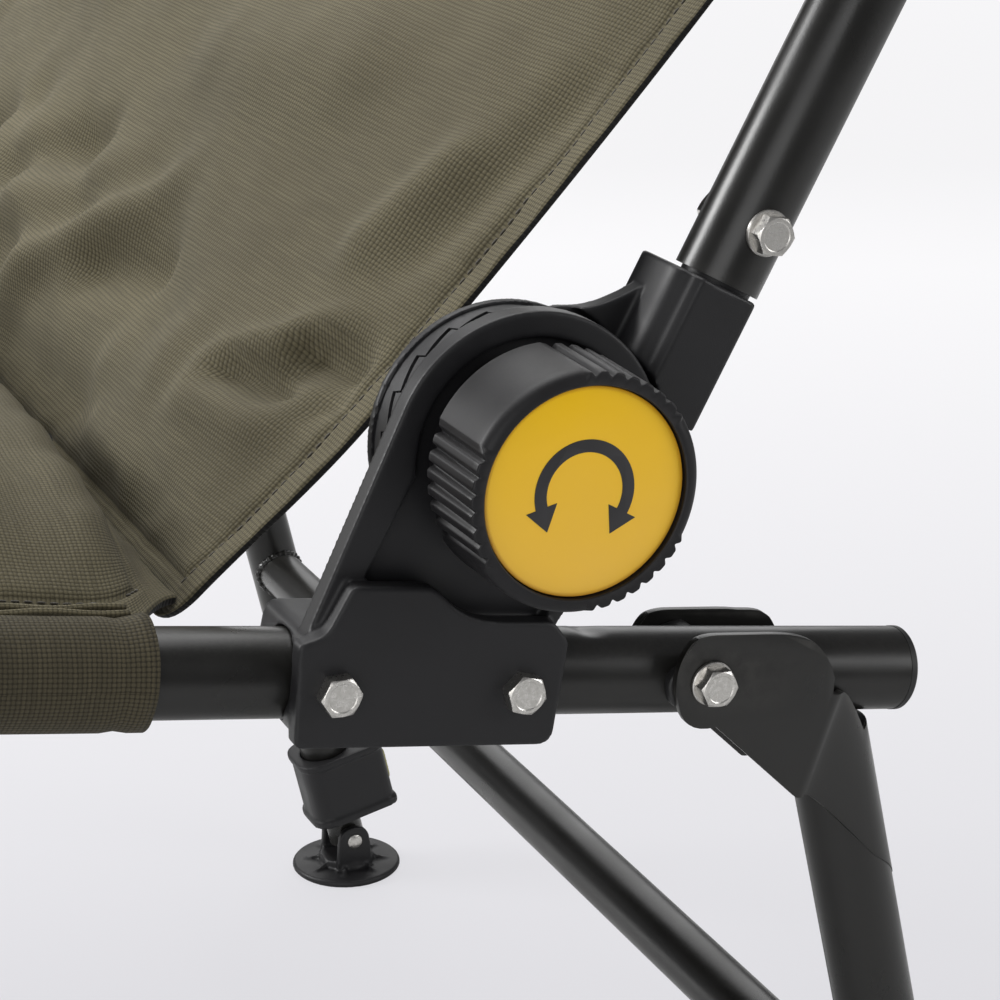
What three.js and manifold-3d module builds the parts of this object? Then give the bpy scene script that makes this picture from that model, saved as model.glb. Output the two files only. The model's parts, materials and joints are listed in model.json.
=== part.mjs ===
// Folding fishing chair with a toothed recline hub and four telescopic legs.
// Millimetres, +Z up, -Y is the front of the chair, +X is the occupant's left.
import * as THREE from 'three';
import { mergeVertices } from 'three/addons/utils/BufferGeometryUtils.js';
import Module from 'manifold-3d';

const wasm = await Module();
wasm.setup();

// Driving dimensions of the frame
const tubeRadius = 12.5;
const tubeWall = 1.5;
const railSpacing = 606;
const railHeight = 372;
const seatTiltDegrees = 9;
const railRearReach = 147.6;
const frontBarReach = 640;
const frameBendRadius = 55;
const seatGap = 0.3;
const cutOverrun = 4;
const tubeSides = 12;
const smallSides = 10;
const bendSteps = 5;
const boltSides = 8;
const hexagonSides = 6;
const cornerSteps = 3;
const weldTolerance = 1e-4;

// Recline hub, seen from the side with the seat rail as the base line
const hubHeight = 66.6;
const hubDiscRadius = 39.5;
const farDiscRadius = 38.4;
const hubDiscOuterFace = 14;
const hubWebFace = 10;
const toothCount = 20;
const toothRadius = 36;
const toothBoreRadius = 29;
const toothDepth = 2.6;
const toothRoot = 3;
const toothCornerDegrees = 16;
const farDiscInnerFace = -13;
const farDiscOuterFace = -6.5;
const springPocketRadius = 16;
const springPocketDepth = 5;
const springRadius = 12.5;
const springWireRadius = 1.1;
const springTurns = 3;
const springSteps = 8;
const springSides = 5;
const hubSides = 26;

// Moulded clamp that carries the hub on the seat rail
const clampInnerFace = -19;
const clampOuterFace = 20;
const clampShoulderFace = 15;
const clampFront = -60;
const clampRear = 18;
const clampBottom = -14.3;
const clampShoulder = 15.5;
const clampCorner = 3.5;
const ledgeHeight = 31;
const ledgeFront = -47;
const ledgeRear = -23;
const notchHeight = 21.5;
const notchFront = -6;
const notchRear = 12;
const armFootFront = -57;
const armFootRear = 14;
const armRimWidth = 15;

// Knob
const knobRadius = 33.4;
const knobInnerFace = 12;
const knobBossFace = 10.4;
const knobBossRadius = 12;
const knobOuterFace = 50;
const knobEdgeRadius = 3.6;
const knobGrooveDepth = 1.6;
const knobGrooveCount = 7;
const knobGroupCount = 3;
const knobGroovePitchDegrees = 8.7;
const knobFirstGroupDegrees = 70;
const badgeRadius = 27.75;
const badgeFace = 48.3;
const badgeThickness = 2;
const insertThickness = 8;
const insertAcrossCorners = 15;
const insertDepth = 3;

// Backrest socket and frame, in the plane of the backrest tube
const backTiltDegrees = 19.86;
const backTubeOffset = 36.6;
const backTubeBottom = 64.3;
const backHeight = 640;
const socketTop = 62.8;
const socketBottom = 24;
const socketFront = 18.8;
const socketCrease = 24.3;
const socketEdge = 43.3;
const socketRear = 49.3;
const socketInnerFace = -15;
const socketOuterFace = 14.5;
const socketCorner = 4.5;
const socketFaceFall = 1;
const webRise = 57;
const webBendAlong = 10;
const webBendRise = 43;
const spigotTop = 98;
const backBoltHeight = 81.6;

// Fasteners
const boltRadius = 3;
const boltHeadHeight = 4;
const boltHeadCorners = 11.5;
const washerRadius = 6.5;
const washerThickness = 1.4;
const nutHeight = 5;
const boltProud = 1.2;
const hubBoltRadius = 4;
const hubBoltHeadHeight = 5;
const hubBoltHeadCorners = 15;
const hubBoltReach = 40;
const clampBoltFront = -48.7;
const clampBoltRear = 5.5;
const clampBoltHeight = 1.5;

// Legs
const legPivotRear = 66;
const legPivotFront = -540;
const legPivotHeight = 2.5;
const rearLegDegrees = 21.86;
const frontLegDegrees = -3;
const legOffset = 40.8;
const legTubeTop = -41;
const legPlugTop = -38.6;
const lugInnerFace = 15;
const lugThickness = 2.5;
const lugTop = 14;
const innerLugDrop = 4;
const lugBoltReach = 10.5;
const lugRearReach = 37;
const lugBottom = -62;
const crossTubeRadius = 11;
const crossTubeDrop = 201;
const innerLegRadius = 9.5;
const innerLegLength = 215;
const plugThickness = 2.4;

// Leg locks and feet
const lockHeight = 38;
const lockSeatDepth = 31;
const lockFootRoom = 14.3;
const lockHalfWidth = 16.5;
const lockFront = 17;
const lockRear = 28;
const lockCorner = 5;
const buttonWidth = 15;
const buttonHeight = 18;
const buttonProud = 2.2;
const buttonDepth = 5.5;
const buttonTravel = 3;
const footRadius = 29;
const footRim = 3;
const footPlate = 4;
const footPinHeight = 20;
const footPinRadius = 3;
const footLugThickness = 4;
const footLugRadius = 8;
const footBossRadius = 15;
const footBossHeight = 8;
const footSides = 18;

// Padded mat
const matSleeveThickness = 2.6;
const seatSleeveFront = -500;
const seatSleeveRear = -90;
const seatPadRear = -100;
const seatPadCrown = 34;
const seatPadSag = 19;
const seatPadEdge = 2;
const padColumns = 14;
const seatPadRows = 14;
const backPadRows = 18;
const matNarrowing = 18;
const backPadBottom = -82;
const backPadThickness = 20;
const backPadFrontCrown = 17;
const backHang = 78;
const backHangLength = 330;
const backHangPowerShare = 1.3;
const crownPowerShare = 3;
const roundCornerPowerShare = 18;
const backMatPlane = 30;
const backSleeveBottom = 215;

const degree = Math.PI / 180;
const seatTilt = seatTiltDegrees * degree;
const backTilt = backTiltDegrees * degree;
const halfSpan = railSpacing / 2;
const lugOuterFace = lugInnerFace + lugThickness;
const buttonPocketDepth = buttonDepth - buttonProud + buttonTravel + seatGap;
const sleeveRadius = tubeRadius + seatGap + matSleeveThickness;

// Finishes
function finish(color, roughness, metalness) {
  return new THREE.MeshStandardMaterial({ color, roughness, metalness });
}

const finishes = {
  tube: () => finish(0x25241f, 0.38, 0.3),
  moulded: () => finish(0x27272a, 0.55, 0),
  knob: () => finish(0x2a292c, 0.45, 0),
  badge: () => finish(0xe0b22a, 0.35, 0),
  steel: () => finish(0xc9c7c2, 0.28, 0.9),
  nylon: () => finish(0x141416, 0.6, 0),
  button: () => finish(0x8a8534, 0.5, 0),
  fabric: () => finish(0x6e6755, 0.9, 0),
};

// Solids: closed geometry in and out of the boolean library
function toSolid(geometry) {
  const bare = geometry.clone();
  bare.deleteAttribute('normal');
  bare.deleteAttribute('uv');
  const merged = mergeVertices(bare, weldTolerance);
  const vertProperties = Float32Array.from(merged.attributes.position.array);
  const triVerts = Uint32Array.from(merged.index.array);
  return new wasm.Manifold(new wasm.Mesh({ numProp: 3, vertProperties, triVerts }));
}

function toGeometry(solid) {
  const mesh = solid.getMesh();
  const geometry = new THREE.BufferGeometry();
  geometry.setAttribute('position', new THREE.BufferAttribute(Float32Array.from(mesh.vertProperties), 3));
  geometry.setIndex(new THREE.BufferAttribute(Uint32Array.from(mesh.triVerts), 1));
  return geometry;
}

function join(geometries) {
  return toGeometry(geometries.map(toSolid).reduce((sum, solid) => sum.add(solid)));
}

function cut(geometry, tools) {
  return toGeometry(tools.map(toSolid).reduce((left, tool) => left.subtract(tool), toSolid(geometry)));
}

function moved(geometry, x, y, z) {
  return geometry.clone().translate(x, y, z);
}

// Mirrors a closed geometry across the middle plane and keeps its faces pointing out
function mirrored(geometry) {
  const copy = geometry.index ? geometry.toNonIndexed() : geometry.clone();
  copy.deleteAttribute('normal');
  copy.deleteAttribute('uv');
  const points = copy.attributes.position;
  for (let corner = 0; corner < points.count; corner += 3) {
    const first = new THREE.Vector3().fromBufferAttribute(points, corner);
    const last = new THREE.Vector3().fromBufferAttribute(points, corner + 2);
    const middle = new THREE.Vector3().fromBufferAttribute(points, corner + 1);
    points.setXYZ(corner, -last.x, last.y, last.z);
    points.setXYZ(corner + 1, -middle.x, middle.y, middle.z);
    points.setXYZ(corner + 2, -first.x, first.y, first.z);
  }
  return mergeVertices(copy, weldTolerance);
}

const sided = (geometry, side) => (side > 0 ? geometry : mirrored(geometry));

// A bore's corners lie outside its true radius, so that a round shaft fits between its flats
const boreRadius = (radius, sides) => radius / Math.cos(Math.PI / sides);

// Plugs fit between the flats of the tubes' bore
const plugStemRadius = (tubeRadius - tubeWall) * Math.cos(Math.PI / tubeSides) - seatGap;

// Straight round bar along X, from one x to another
function barX(radius, fromX, toX, y, z, sides = smallSides) {
  const geometry = new THREE.CylinderGeometry(radius, radius, toX - fromX, sides);
  geometry.rotateZ(-Math.PI / 2);
  return geometry.translate((fromX + toX) / 2, y, z);
}

// Straight round bar along Z
function barZ(radius, fromZ, toZ, y, sides = smallSides) {
  const geometry = new THREE.CylinderGeometry(radius, radius, toZ - fromZ, sides);
  geometry.rotateX(Math.PI / 2);
  return geometry.translate(0, y, (fromZ + toZ) / 2);
}

// Bore along X that a shaft of the given radius passes through
function boreX(radius, fromX, toX, y, z) {
  return barX(boreRadius(radius + seatGap, boltSides), fromX, toX, y, z, boltSides);
}

// Outline in the (y, z) plane, extruded along X
function plateX(outline, fromX, toX, holes = []) {
  const shape = outline instanceof THREE.Shape ? outline : new THREE.Shape(outline);
  shape.holes.push(...holes);
  const settings = { depth: toX - fromX, bevelEnabled: false, curveSegments: cornerSteps };
  const geometry = new THREE.ExtrudeGeometry(shape, settings);
  const turn = new THREE.Matrix4().makeBasis(
    new THREE.Vector3(0, 1, 0), new THREE.Vector3(0, 0, 1), new THREE.Vector3(1, 0, 0));
  return geometry.applyMatrix4(turn).translate(fromX, 0, 0);
}

// Outline in the (x, y) plane, extruded along Z
function plateZ(shape, fromZ, toZ) {
  const settings = { depth: toZ - fromZ, bevelEnabled: false, curveSegments: cornerSteps };
  const geometry = new THREE.ExtrudeGeometry(shape, settings);
  return geometry.translate(0, 0, fromZ);
}

// Closed outline through corners [a, b, radius], each rounded by its radius
function roundedShape(corners) {
  const shape = new THREE.Shape();
  const count = corners.length;
  corners.forEach(([a, b, radius], index) => {
    const here = new THREE.Vector2(a, b);
    const before = new THREE.Vector2(...corners[(index + count - 1) % count]);
    const after = new THREE.Vector2(...corners[(index + 1) % count]);
    const back = before.clone().sub(here);
    const ahead = after.clone().sub(here);
    const trimBack = Math.min(radius, back.length() / 2);
    const trimAhead = Math.min(radius, ahead.length() / 2);
    const start = here.clone().addScaledVector(back.clone().normalize(), trimBack);
    const end = here.clone().addScaledVector(ahead.clone().normalize(), trimAhead);
    if (index === 0) shape.moveTo(start.x, start.y);
    else shape.lineTo(start.x, start.y);
    if (radius > 0) shape.quadraticCurveTo(here.x, here.y, end.x, end.y);
  });
  shape.closePath();
  return shape;
}

function circleShape(radius, sides, Kind = THREE.Shape) {
  const points = [];
  for (let side = 0; side < sides; side += 1) {
    const angle = (2 * Math.PI * side) / sides;
    points.push(new THREE.Vector2(radius * Math.cos(angle), radius * Math.sin(angle)));
  }
  return new Kind(points);
}

function ringShape(outer, inner, sides) {
  const shape = circleShape(outer, sides);
  shape.holes.push(circleShape(inner, sides, THREE.Path));
  return shape;
}

// Path whose stations are given one by one, so that straight runs need no extra steps
class StationPath extends THREE.Curve {
  constructor(stations) {
    super();
    this.stations = stations;
  }

  at(share, field) {
    const place = share * (this.stations.length - 1);
    const index = Math.min(Math.floor(place), this.stations.length - 2);
    return this.stations[index][field].clone().lerp(this.stations[index + 1][field], place - index);
  }

  getPoint(share) {
    return this.at(share, 'point');
  }

  getPointAt(share) {
    return this.at(share, 'point');
  }

  getTangentAt(share) {
    return this.at(share, 'tangent').normalize();
  }

  getSpacedPoints(steps) {
    return Array.from({ length: steps + 1 }, (unused, step) => this.at(step / steps, 'point'));
  }
}

// U-shaped bent tube: two legs at x = -half and +half from y = 0 to y = reach, joined by a bar
function bentTubePath(half, reach, bend) {
  const stations = [];
  const add = (x, y, tangentX, tangentY) => stations.push({
    point: new THREE.Vector3(x, y, 0), tangent: new THREE.Vector3(tangentX, tangentY, 0) });
  add(-half, 0, 0, 1);
  for (let step = 0; step <= bendSteps; step += 1) {
    const angle = (Math.PI / 2) * (step / bendSteps);
    const across = bend * Math.cos(angle);
    const along = bend * Math.sin(angle);
    add(-half + bend - across, reach - bend + along, Math.sin(angle), Math.cos(angle));
  }
  for (let step = 0; step <= bendSteps; step += 1) {
    const angle = (Math.PI / 2) * (step / bendSteps);
    const across = bend * Math.sin(angle);
    const along = bend * Math.cos(angle);
    add(half - bend + across, reach - bend + along, Math.cos(angle), -Math.sin(angle));
  }
  add(half, 0, 0, -1);
  return new StationPath(stations);
}

function bentTube(half, reach, bend) {
  const path = bentTubePath(half, reach, bend);
  const shape = ringShape(tubeRadius, tubeRadius - tubeWall, tubeSides);
  const steps = path.stations.length - 1;
  return new THREE.ExtrudeGeometry(shape, { extrudePath: path, steps, bevelEnabled: false });
}

// Six-sided head or nut along X
const hexagonX = (corners, fromX, toX, y, z) => barX(corners / 2, fromX, toX, y, z, hexagonSides);

// Bolt with its nut and, where it has one, the washer under its head
function boltSet(seatX, nutX, y, z, washer = 0) {
  const headX = seatX + washer;
  const pieces = [
    hexagonX(boltHeadCorners, headX, headX + boltHeadHeight, y, z),
    barX(boltRadius, nutX - nutHeight - boltProud, headX + boltHeadHeight / 2, y, z, boltSides),
    hexagonX(boltHeadCorners, nutX - nutHeight, nutX, y, z),
  ];
  if (washer) pieces.push(barX(washerRadius, seatX, headX + boltHeadHeight / 4, y, z));
  return join(pieces);
}

function nutX(corners, height, seatX, y, z, radius) {
  const blank = hexagonX(corners, seatX - height, seatX, y, z);
  return cut(blank, [boreX(radius, seatX - height - cutOverrun, seatX + cutOverrun, y, z)]);
}

const chair = new THREE.Group();
const seat = new THREE.Group();
seat.position.z = railHeight;
seat.rotation.x = -seatTilt;
chair.add(seat);

function addPiece(parent, name, geometry, material) {
  const mesh = new THREE.Mesh(geometry, material());
  mesh.name = name;
  parent.add(mesh);
  return mesh;
}

const sides = [['left', 1], ['right', -1]];
const atRail = (geometry, side) => sided(geometry, side).clone().translate(side * halfSpan, 0, 0);
const bothRails = (geometry) => sides.map(([, side]) => atRail(geometry, side));

// Seat frame
function seatFrame() {
  const reach = frontBarReach + railRearReach;
  const tube = bentTube(halfSpan, reach, frameBendRadius);
  tube.rotateZ(Math.PI).translate(0, railRearReach, 0);
  const boltHoles = sides.flatMap(([, side]) => [
    [clampBoltFront, clampBoltHeight], [clampBoltRear, clampBoltHeight],
    [legPivotRear, legPivotHeight], [legPivotFront, legPivotHeight],
  ].map(([y, z]) => {
    const reachX = tubeRadius + cutOverrun;
    return boreX(boltRadius, -reachX, reachX, y, z).translate(side * halfSpan, 0, 0);
  }));
  addPiece(seat, 'seat_frame', cut(tube, boltHoles), finishes.tube);
}

function railEndCaps() {
  const stemLength = plugThickness * 4;
  const stem = new THREE.CylinderGeometry(plugStemRadius, plugStemRadius, stemLength, smallSides)
    .translate(0, railRearReach - stemLength / 2 + seatGap * 2, 0);
  const flange = new THREE.CylinderGeometry(tubeRadius, tubeRadius, plugThickness, tubeSides)
    .translate(0, railRearReach + seatGap + plugThickness / 2, 0);
  sides.forEach(([name, side]) => {
    addPiece(seat, `rail_end_cap_${name}`, atRail(join([stem, flange]), side), finishes.nylon);
  });
}

// Ring of saw teeth on a face: each ramp runs from its first x to its last, then drops back
function toothRing(baseX, firstX, lastX, cornerDegrees) {
  const places = [];
  const pitch = (2 * Math.PI) / toothCount;
  const dropShare = 0.06;
  for (let tooth = 0; tooth < toothCount; tooth += 1) {
    const corner = cornerDegrees * degree + tooth * pitch;
    places.push([corner, firstX], [corner + (1 - dropShare) * pitch, lastX]);
  }
  const vertices = [];
  places.forEach(([angle, face]) => {
    [[toothRadius, face], [toothBoreRadius, face], [toothBoreRadius, baseX], [toothRadius, baseX]].forEach(
      ([radius, x]) => vertices.push(x, radius * Math.cos(angle), hubHeight + radius * Math.sin(angle)));
  });
  const index = [];
  const pointsPerPlace = 4;
  for (let place = 0; place < places.length; place += 1) {
    const here = place * pointsPerPlace;
    const next = ((place + 1) % places.length) * pointsPerPlace;
    for (let edge = 0; edge < pointsPerPlace; edge += 1) {
      const ahead = (edge + 1) % pointsPerPlace;
      const [a, b, c, d] = [here + edge, here + ahead, next + ahead, next + edge];
      if (baseX > firstX) index.push(a, b, c, a, c, d);
      else index.push(a, c, b, a, d, c);
    }
  }
  const geometry = new THREE.BufferGeometry();
  geometry.setAttribute('position', new THREE.Float32BufferAttribute(vertices, 3));
  geometry.setIndex(index);
  return geometry;
}

const toOutline = (pairs) => pairs.map(([y, z]) => new THREE.Vector2(y, z));

function clampBlock() {
  return plateX(roundedShape([
    [clampFront, clampBottom + clampCorner * 2, clampCorner],
    [clampFront + clampCorner * 2, clampBottom, clampCorner],
    [clampRear, clampBottom, clampCorner],
    [clampRear, clampShoulder, clampCorner],
    [clampFront, clampShoulder, clampCorner],
  ]), clampInnerFace, clampShoulderFace);
}

function clampFrontPlate() {
  return plateX(roundedShape([
    [clampFront + clampCorner, clampBottom, clampCorner],
    [clampRear, clampBottom, clampCorner],
    [clampRear, clampShoulder, clampCorner],
    [notchRear, notchHeight, clampCorner],
    [notchFront, notchHeight, clampCorner * 2],
    [ledgeRear, ledgeHeight, clampCorner],
    [ledgeFront, ledgeHeight, clampCorner / 2],
    [ledgeFront - clampCorner * 1.5, clampShoulder, clampCorner],
    [clampFront, clampShoulder - clampCorner / 2, clampCorner],
  ]), clampShoulderFace - seatGap, clampOuterFace);
}

// Arm outline: from the clamp's shoulder up, tangent round the hub disc
function armOutline() {
  const outline = [[armFootFront, clampShoulder - clampCorner], [armFootRear, clampShoulder - clampCorner]];
  const reach = Math.hypot(armFootFront, hubHeight - clampShoulder);
  const down = Math.atan2(clampShoulder - hubHeight, armFootFront) + 2 * Math.PI;
  const leave = down - Math.acos(hubDiscRadius / reach);
  const arcSteps = 14;
  const start = -Math.PI / 4;
  for (let step = 0; step <= arcSteps; step += 1) {
    const angle = start + ((leave - start) * step) / arcSteps;
    outline.push([hubDiscRadius * Math.cos(angle), hubHeight + hubDiscRadius * Math.sin(angle)]);
  }
  return outline;
}

// Hub carrier: clamp block, front plate, arm, disc and saw teeth in one moulding
function hingeBase() {
  const arm = plateX(toOutline(armOutline()), toothRoot - seatGap, hubDiscOuterFace);
  const disc = barX(hubDiscRadius, toothRoot - seatGap, hubDiscOuterFace, 0, hubHeight, hubSides);
  const teeth = toothRing(toothRoot, toothRoot - toothDepth, toothRoot - seatGap, toothCornerDegrees);
  const web = plateX(toOutline([
    [armFootFront + armRimWidth, clampShoulder + clampCorner],
    [notchRear, clampShoulder + clampCorner],
    [knobRadius, hubHeight - knobRadius / 2],
    [0, hubHeight + clampCorner],
    [-knobRadius + clampCorner, hubHeight + clampCorner],
  ]), hubWebFace, clampShoulderFace - seatGap * 2);
  const knobRoom = knobRadius + seatGap * 3;
  const knobSeat = barX(knobRoom, hubWebFace, hubDiscOuterFace + cutOverrun, 0, hubHeight, hubSides);
  const bore = boreRadius(tubeRadius + seatGap, tubeSides);
  const rail = new THREE.CylinderGeometry(bore, bore, clampRear - clampFront + cutOverrun * 2, tubeSides);
  rail.translate(0, (clampRear + clampFront) / 2, 0);
  const holes = [clampBoltFront, clampBoltRear].map((y) => boreX(
    boltRadius, clampInnerFace - cutOverrun, clampOuterFace + cutOverrun, y, clampBoltHeight));
  const hubBore = boreX(hubBoltRadius, -cutOverrun, hubDiscOuterFace + cutOverrun, 0, hubHeight);
  const springPocket = barX(springPocketRadius, -cutOverrun, toothRoot + springPocketDepth, 0, hubHeight);
  return cut(join([clampBlock(), clampFrontPlate(), arm, disc, teeth]),
    [web, knobSeat, rail, ...holes, hubBore, springPocket]);
}

// Block that the backrest tube stands on, in the backrest's own plane
function socketBlock() {
  const section = roundedShape([
    [socketInnerFace, socketFront, socketCorner],
    [socketOuterFace - socketCorner, socketFront, socketCorner],
    [socketOuterFace, socketCrease, 0],
    [socketOuterFace - socketFaceFall, socketEdge, 0],
    [0, socketRear, socketCorner],
    [socketInnerFace, socketRear, socketCorner],
  ]);
  return plateZ(section, socketBottom, socketTop);
}

// Backrest side of the hub, in a frame at the hub whose Z runs along the backrest tube
function backrestSocket() {
  const sweep = new THREE.Shape();
  sweep.moveTo(0, farDiscRadius - seatGap);
  sweep.quadraticCurveTo(webBendAlong, webBendRise, socketFront + socketCorner, webRise);
  sweep.lineTo(socketRear - socketCorner, webRise);
  sweep.lineTo(socketRear - socketCorner, socketBottom - socketCorner);
  const underside = -farDiscRadius / 3;
  sweep.quadraticCurveTo(socketRear - socketCorner, underside, farDiscRadius - socketCorner, underside);
  sweep.lineTo(0, 0);
  const web = plateX(sweep, farDiscInnerFace, -toothRoot - seatGap);
  const flange = barX(farDiscRadius, farDiscInnerFace, farDiscOuterFace, 0, 0, hubSides);
  const core = barX(toothRadius, farDiscOuterFace - seatGap, -toothRoot + seatGap, 0, 0, hubSides);
  const teeth = toothRing(-toothRoot, -toothRoot + seatGap, -toothRoot + toothDepth,
    toothCornerDegrees + backTiltDegrees);
  teeth.translate(0, 0, -hubHeight);
  const discRoom = hubDiscRadius + seatGap * 4;
  const sweepRoom = barX(discRoom, -toothRoot + seatGap, socketOuterFace + cutOverrun, 0, 0, hubSides);
  const shell = cut(join([socketBlock(), web]), [sweepRoom]);
  const spigot = barZ(plugStemRadius, socketTop - cutOverrun, spigotTop, backTubeOffset);
  const boltBore = boreX(boltRadius, -tubeRadius, tubeRadius, backTubeOffset, backBoltHeight);
  const hubBore = boreX(hubBoltRadius, farDiscInnerFace - cutOverrun, cutOverrun, 0, 0);
  const springPocket = barX(springPocketRadius, -toothRoot - springPocketDepth, cutOverrun, 0, 0);
  return cut(join([shell, flange, core, teeth, spigot]), [boltBore, hubBore, springPocket]);
}

function hubSpring() {
  const start = -toothRoot - springPocketDepth + springWireRadius + seatGap;
  const end = toothRoot + springPocketDepth - springWireRadius - seatGap;
  const stations = [];
  const steps = springTurns * springSteps;
  for (let step = 0; step <= steps; step += 1) {
    const angle = (2 * Math.PI * step) / springSteps;
    const rise = (end - start) / steps;
    const along = new THREE.Vector3(rise * springSteps / (2 * Math.PI),
      -springRadius * Math.sin(angle), springRadius * Math.cos(angle)).normalize();
    stations.push({
      point: new THREE.Vector3(start + rise * step, springRadius * Math.cos(angle),
        hubHeight + springRadius * Math.sin(angle)),
      tangent: along });
  }
  const path = new StationPath(stations);
  const section = circleShape(springWireRadius, springSides);
  return new THREE.ExtrudeGeometry(section, { extrudePath: path, steps, bevelEnabled: false });
}

function hubParts() {
  const base = hingeBase();
  const spring = hubSpring();
  const headSeat = farDiscInnerFace - seatGap;
  const head = hexagonX(hubBoltHeadCorners, headSeat - hubBoltHeadHeight, headSeat, 0, hubHeight);
  const shankStart = headSeat - hubBoltHeadHeight / 2;
  const shank = barX(hubBoltRadius, shankStart, hubBoltReach, 0, hubHeight, boltSides);
  const hubBolt = join([head, shank]);
  sides.forEach(([name, side]) => {
    addPiece(seat, `hinge_base_${name}`, atRail(base, side), finishes.moulded);
    addPiece(seat, `hub_bolt_${name}`, atRail(hubBolt, side), finishes.steel);
    addPiece(seat, `hub_spring_${name}`, atRail(spring, side), finishes.steel);
    [['front', clampBoltFront], ['rear', clampBoltRear]].forEach(([place, y]) => {
      const bolt = boltSet(clampOuterFace + seatGap, clampInnerFace - seatGap, y, clampBoltHeight);
      addPiece(seat, `hinge_base_bolt_${place}_${name}`, atRail(bolt, side), finishes.steel);
    });
  });
}

// Ribbed outline of the knob: three groups of grooves with smooth stretches between them
function knobOutline() {
  const points = [];
  const groupStep = 360 / knobGroupCount;
  const grooveShares = [[-0.5, 0], [-0.22, 1], [0.22, 1], [0.5, 0]];
  const grooveWidthShare = 0.6;
  const smoothSteps = 4;
  for (let group = 0; group < knobGroupCount; group += 1) {
    const centre = knobFirstGroupDegrees + group * groupStep;
    const first = centre - (knobGroovePitchDegrees * (knobGrooveCount - 1)) / 2;
    for (let groove = 0; groove < knobGrooveCount; groove += 1) {
      const middle = first + groove * knobGroovePitchDegrees;
      grooveShares.forEach(([along, deep]) => {
        const spread = along * knobGroovePitchDegrees * grooveWidthShare;
        points.push([(middle + spread) * degree, knobRadius - deep * knobGrooveDepth]);
      });
    }
    const last = centre + (knobGroovePitchDegrees * knobGrooveCount) / 2;
    const smooth = groupStep - knobGroovePitchDegrees * knobGrooveCount;
    for (let step = 0; step <= smoothSteps; step += 1) {
      points.push([(last + (smooth * step) / smoothSteps) * degree, knobRadius]);
    }
  }
  return toOutline(points.map(([angle, radius]) => [radius * Math.cos(angle), radius * Math.sin(angle)]));
}

// Knob in a frame at the hub, X pointing out of the chair
function knobShell() {
  const ribbed = plateX(knobOutline(), knobInnerFace, knobOuterFace - knobEdgeRadius);
  const rimRadius = knobRadius - knobGrooveDepth;
  const faceRadius = rimRadius - knobEdgeRadius / 2;
  const rim = new THREE.CylinderGeometry(faceRadius, rimRadius, knobEdgeRadius, hubSides);
  rim.rotateZ(-Math.PI / 2).translate(knobOuterFace - knobEdgeRadius / 2 - seatGap, 0, 0);
  const boss = barX(knobBossRadius, knobBossFace, knobInnerFace + cutOverrun, 0, 0);
  const badgeSeat = badgeFace - badgeThickness;
  const face = barX(badgeRadius + seatGap, badgeSeat, knobOuterFace + cutOverrun, 0, 0, hubSides);
  const bore = boreX(hubBoltRadius, knobBossFace - cutOverrun, hubBoltReach + seatGap * 3, 0, 0);
  const pocketEnd = knobBossFace + insertDepth + insertThickness + seatGap;
  const pocket = hexagonX(insertAcrossCorners + seatGap * 3, knobBossFace - cutOverrun, pocketEnd, 0, 0);
  return cut(join([ribbed, rim, boss]), [face, bore, pocket]);
}

function knobs() {
  const shell = knobShell();
  const badge = barX(badgeRadius, badgeFace - badgeThickness + seatGap, badgeFace, 0, 0, hubSides);
  const insertEnd = knobBossFace + insertDepth + insertThickness;
  const insert = nutX(insertAcrossCorners, insertThickness, insertEnd, 0, 0, hubBoltRadius);
  sides.forEach(([name, side]) => {
    const place = (geometry) => atRail(moved(geometry, 0, 0, hubHeight), side);
    addPiece(seat, `knob_${name}`, place(shell), finishes.knob);
    addPiece(seat, `knob_badge_${name}`, place(badge), finishes.badge);
    addPiece(seat, `knob_insert_${name}`, place(insert), finishes.steel);
  });
}

// Backrest, in a frame at the hub axis whose Z runs along its tubes
const backrest = new THREE.Group();
backrest.position.z = hubHeight;
backrest.rotation.x = -backTilt;
seat.add(backrest);

function backrestParts() {
  const socket = backrestSocket();
  sides.forEach(([name, side]) => {
    addPiece(backrest, `backrest_socket_${name}`, atRail(socket, side), finishes.moulded);
  });
  const tube = bentTube(halfSpan, backHeight - backTubeBottom, frameBendRadius);
  tube.rotateX(Math.PI / 2).translate(0, backTubeOffset, backTubeBottom);
  const reachX = tubeRadius + cutOverrun;
  const hole = boreX(boltRadius, -reachX, reachX, backTubeOffset, backBoltHeight);
  addPiece(backrest, 'backrest_frame', cut(tube, bothRails(hole)), finishes.tube);
  const boltSeat = tubeRadius + seatGap;
  const bolt = boltSet(boltSeat, -boltSeat, backTubeOffset, backBoltHeight, washerThickness);
  sides.forEach(([name, side]) => {
    addPiece(backrest, `backrest_bolt_${name}`, atRail(bolt, side), finishes.steel);
  });
}

// Leg frames: a group at the pivot bolts whose -Z runs down the legs; facing is +1 at the rear
function legOutline(facing, drop) {
  const topStartShare = 0.4;
  const shoulderInShare = 0.6;
  const shoulderRiseShare = 0.3;
  const corners = [
    [-lugBoltReach * topStartShare, lugTop - drop, lugBoltReach],
    [lugRearReach - lugTop * shoulderInShare, lugTop * shoulderRiseShare - drop / 2, lugTop],
    [lugRearReach, -lugTop, lugBoltReach],
    [legOffset, -lugTop - tubeRadius * 2, 0],
    [legOffset - tubeRadius, lugBottom, clampCorner],
    [-lugBoltReach, -lugBoltReach, lugBoltReach],
  ];
  const turned = corners.map(([y, z, radius]) => [facing * y, z, radius]);
  return roundedShape(facing > 0 ? turned : turned.reverse());
}

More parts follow.
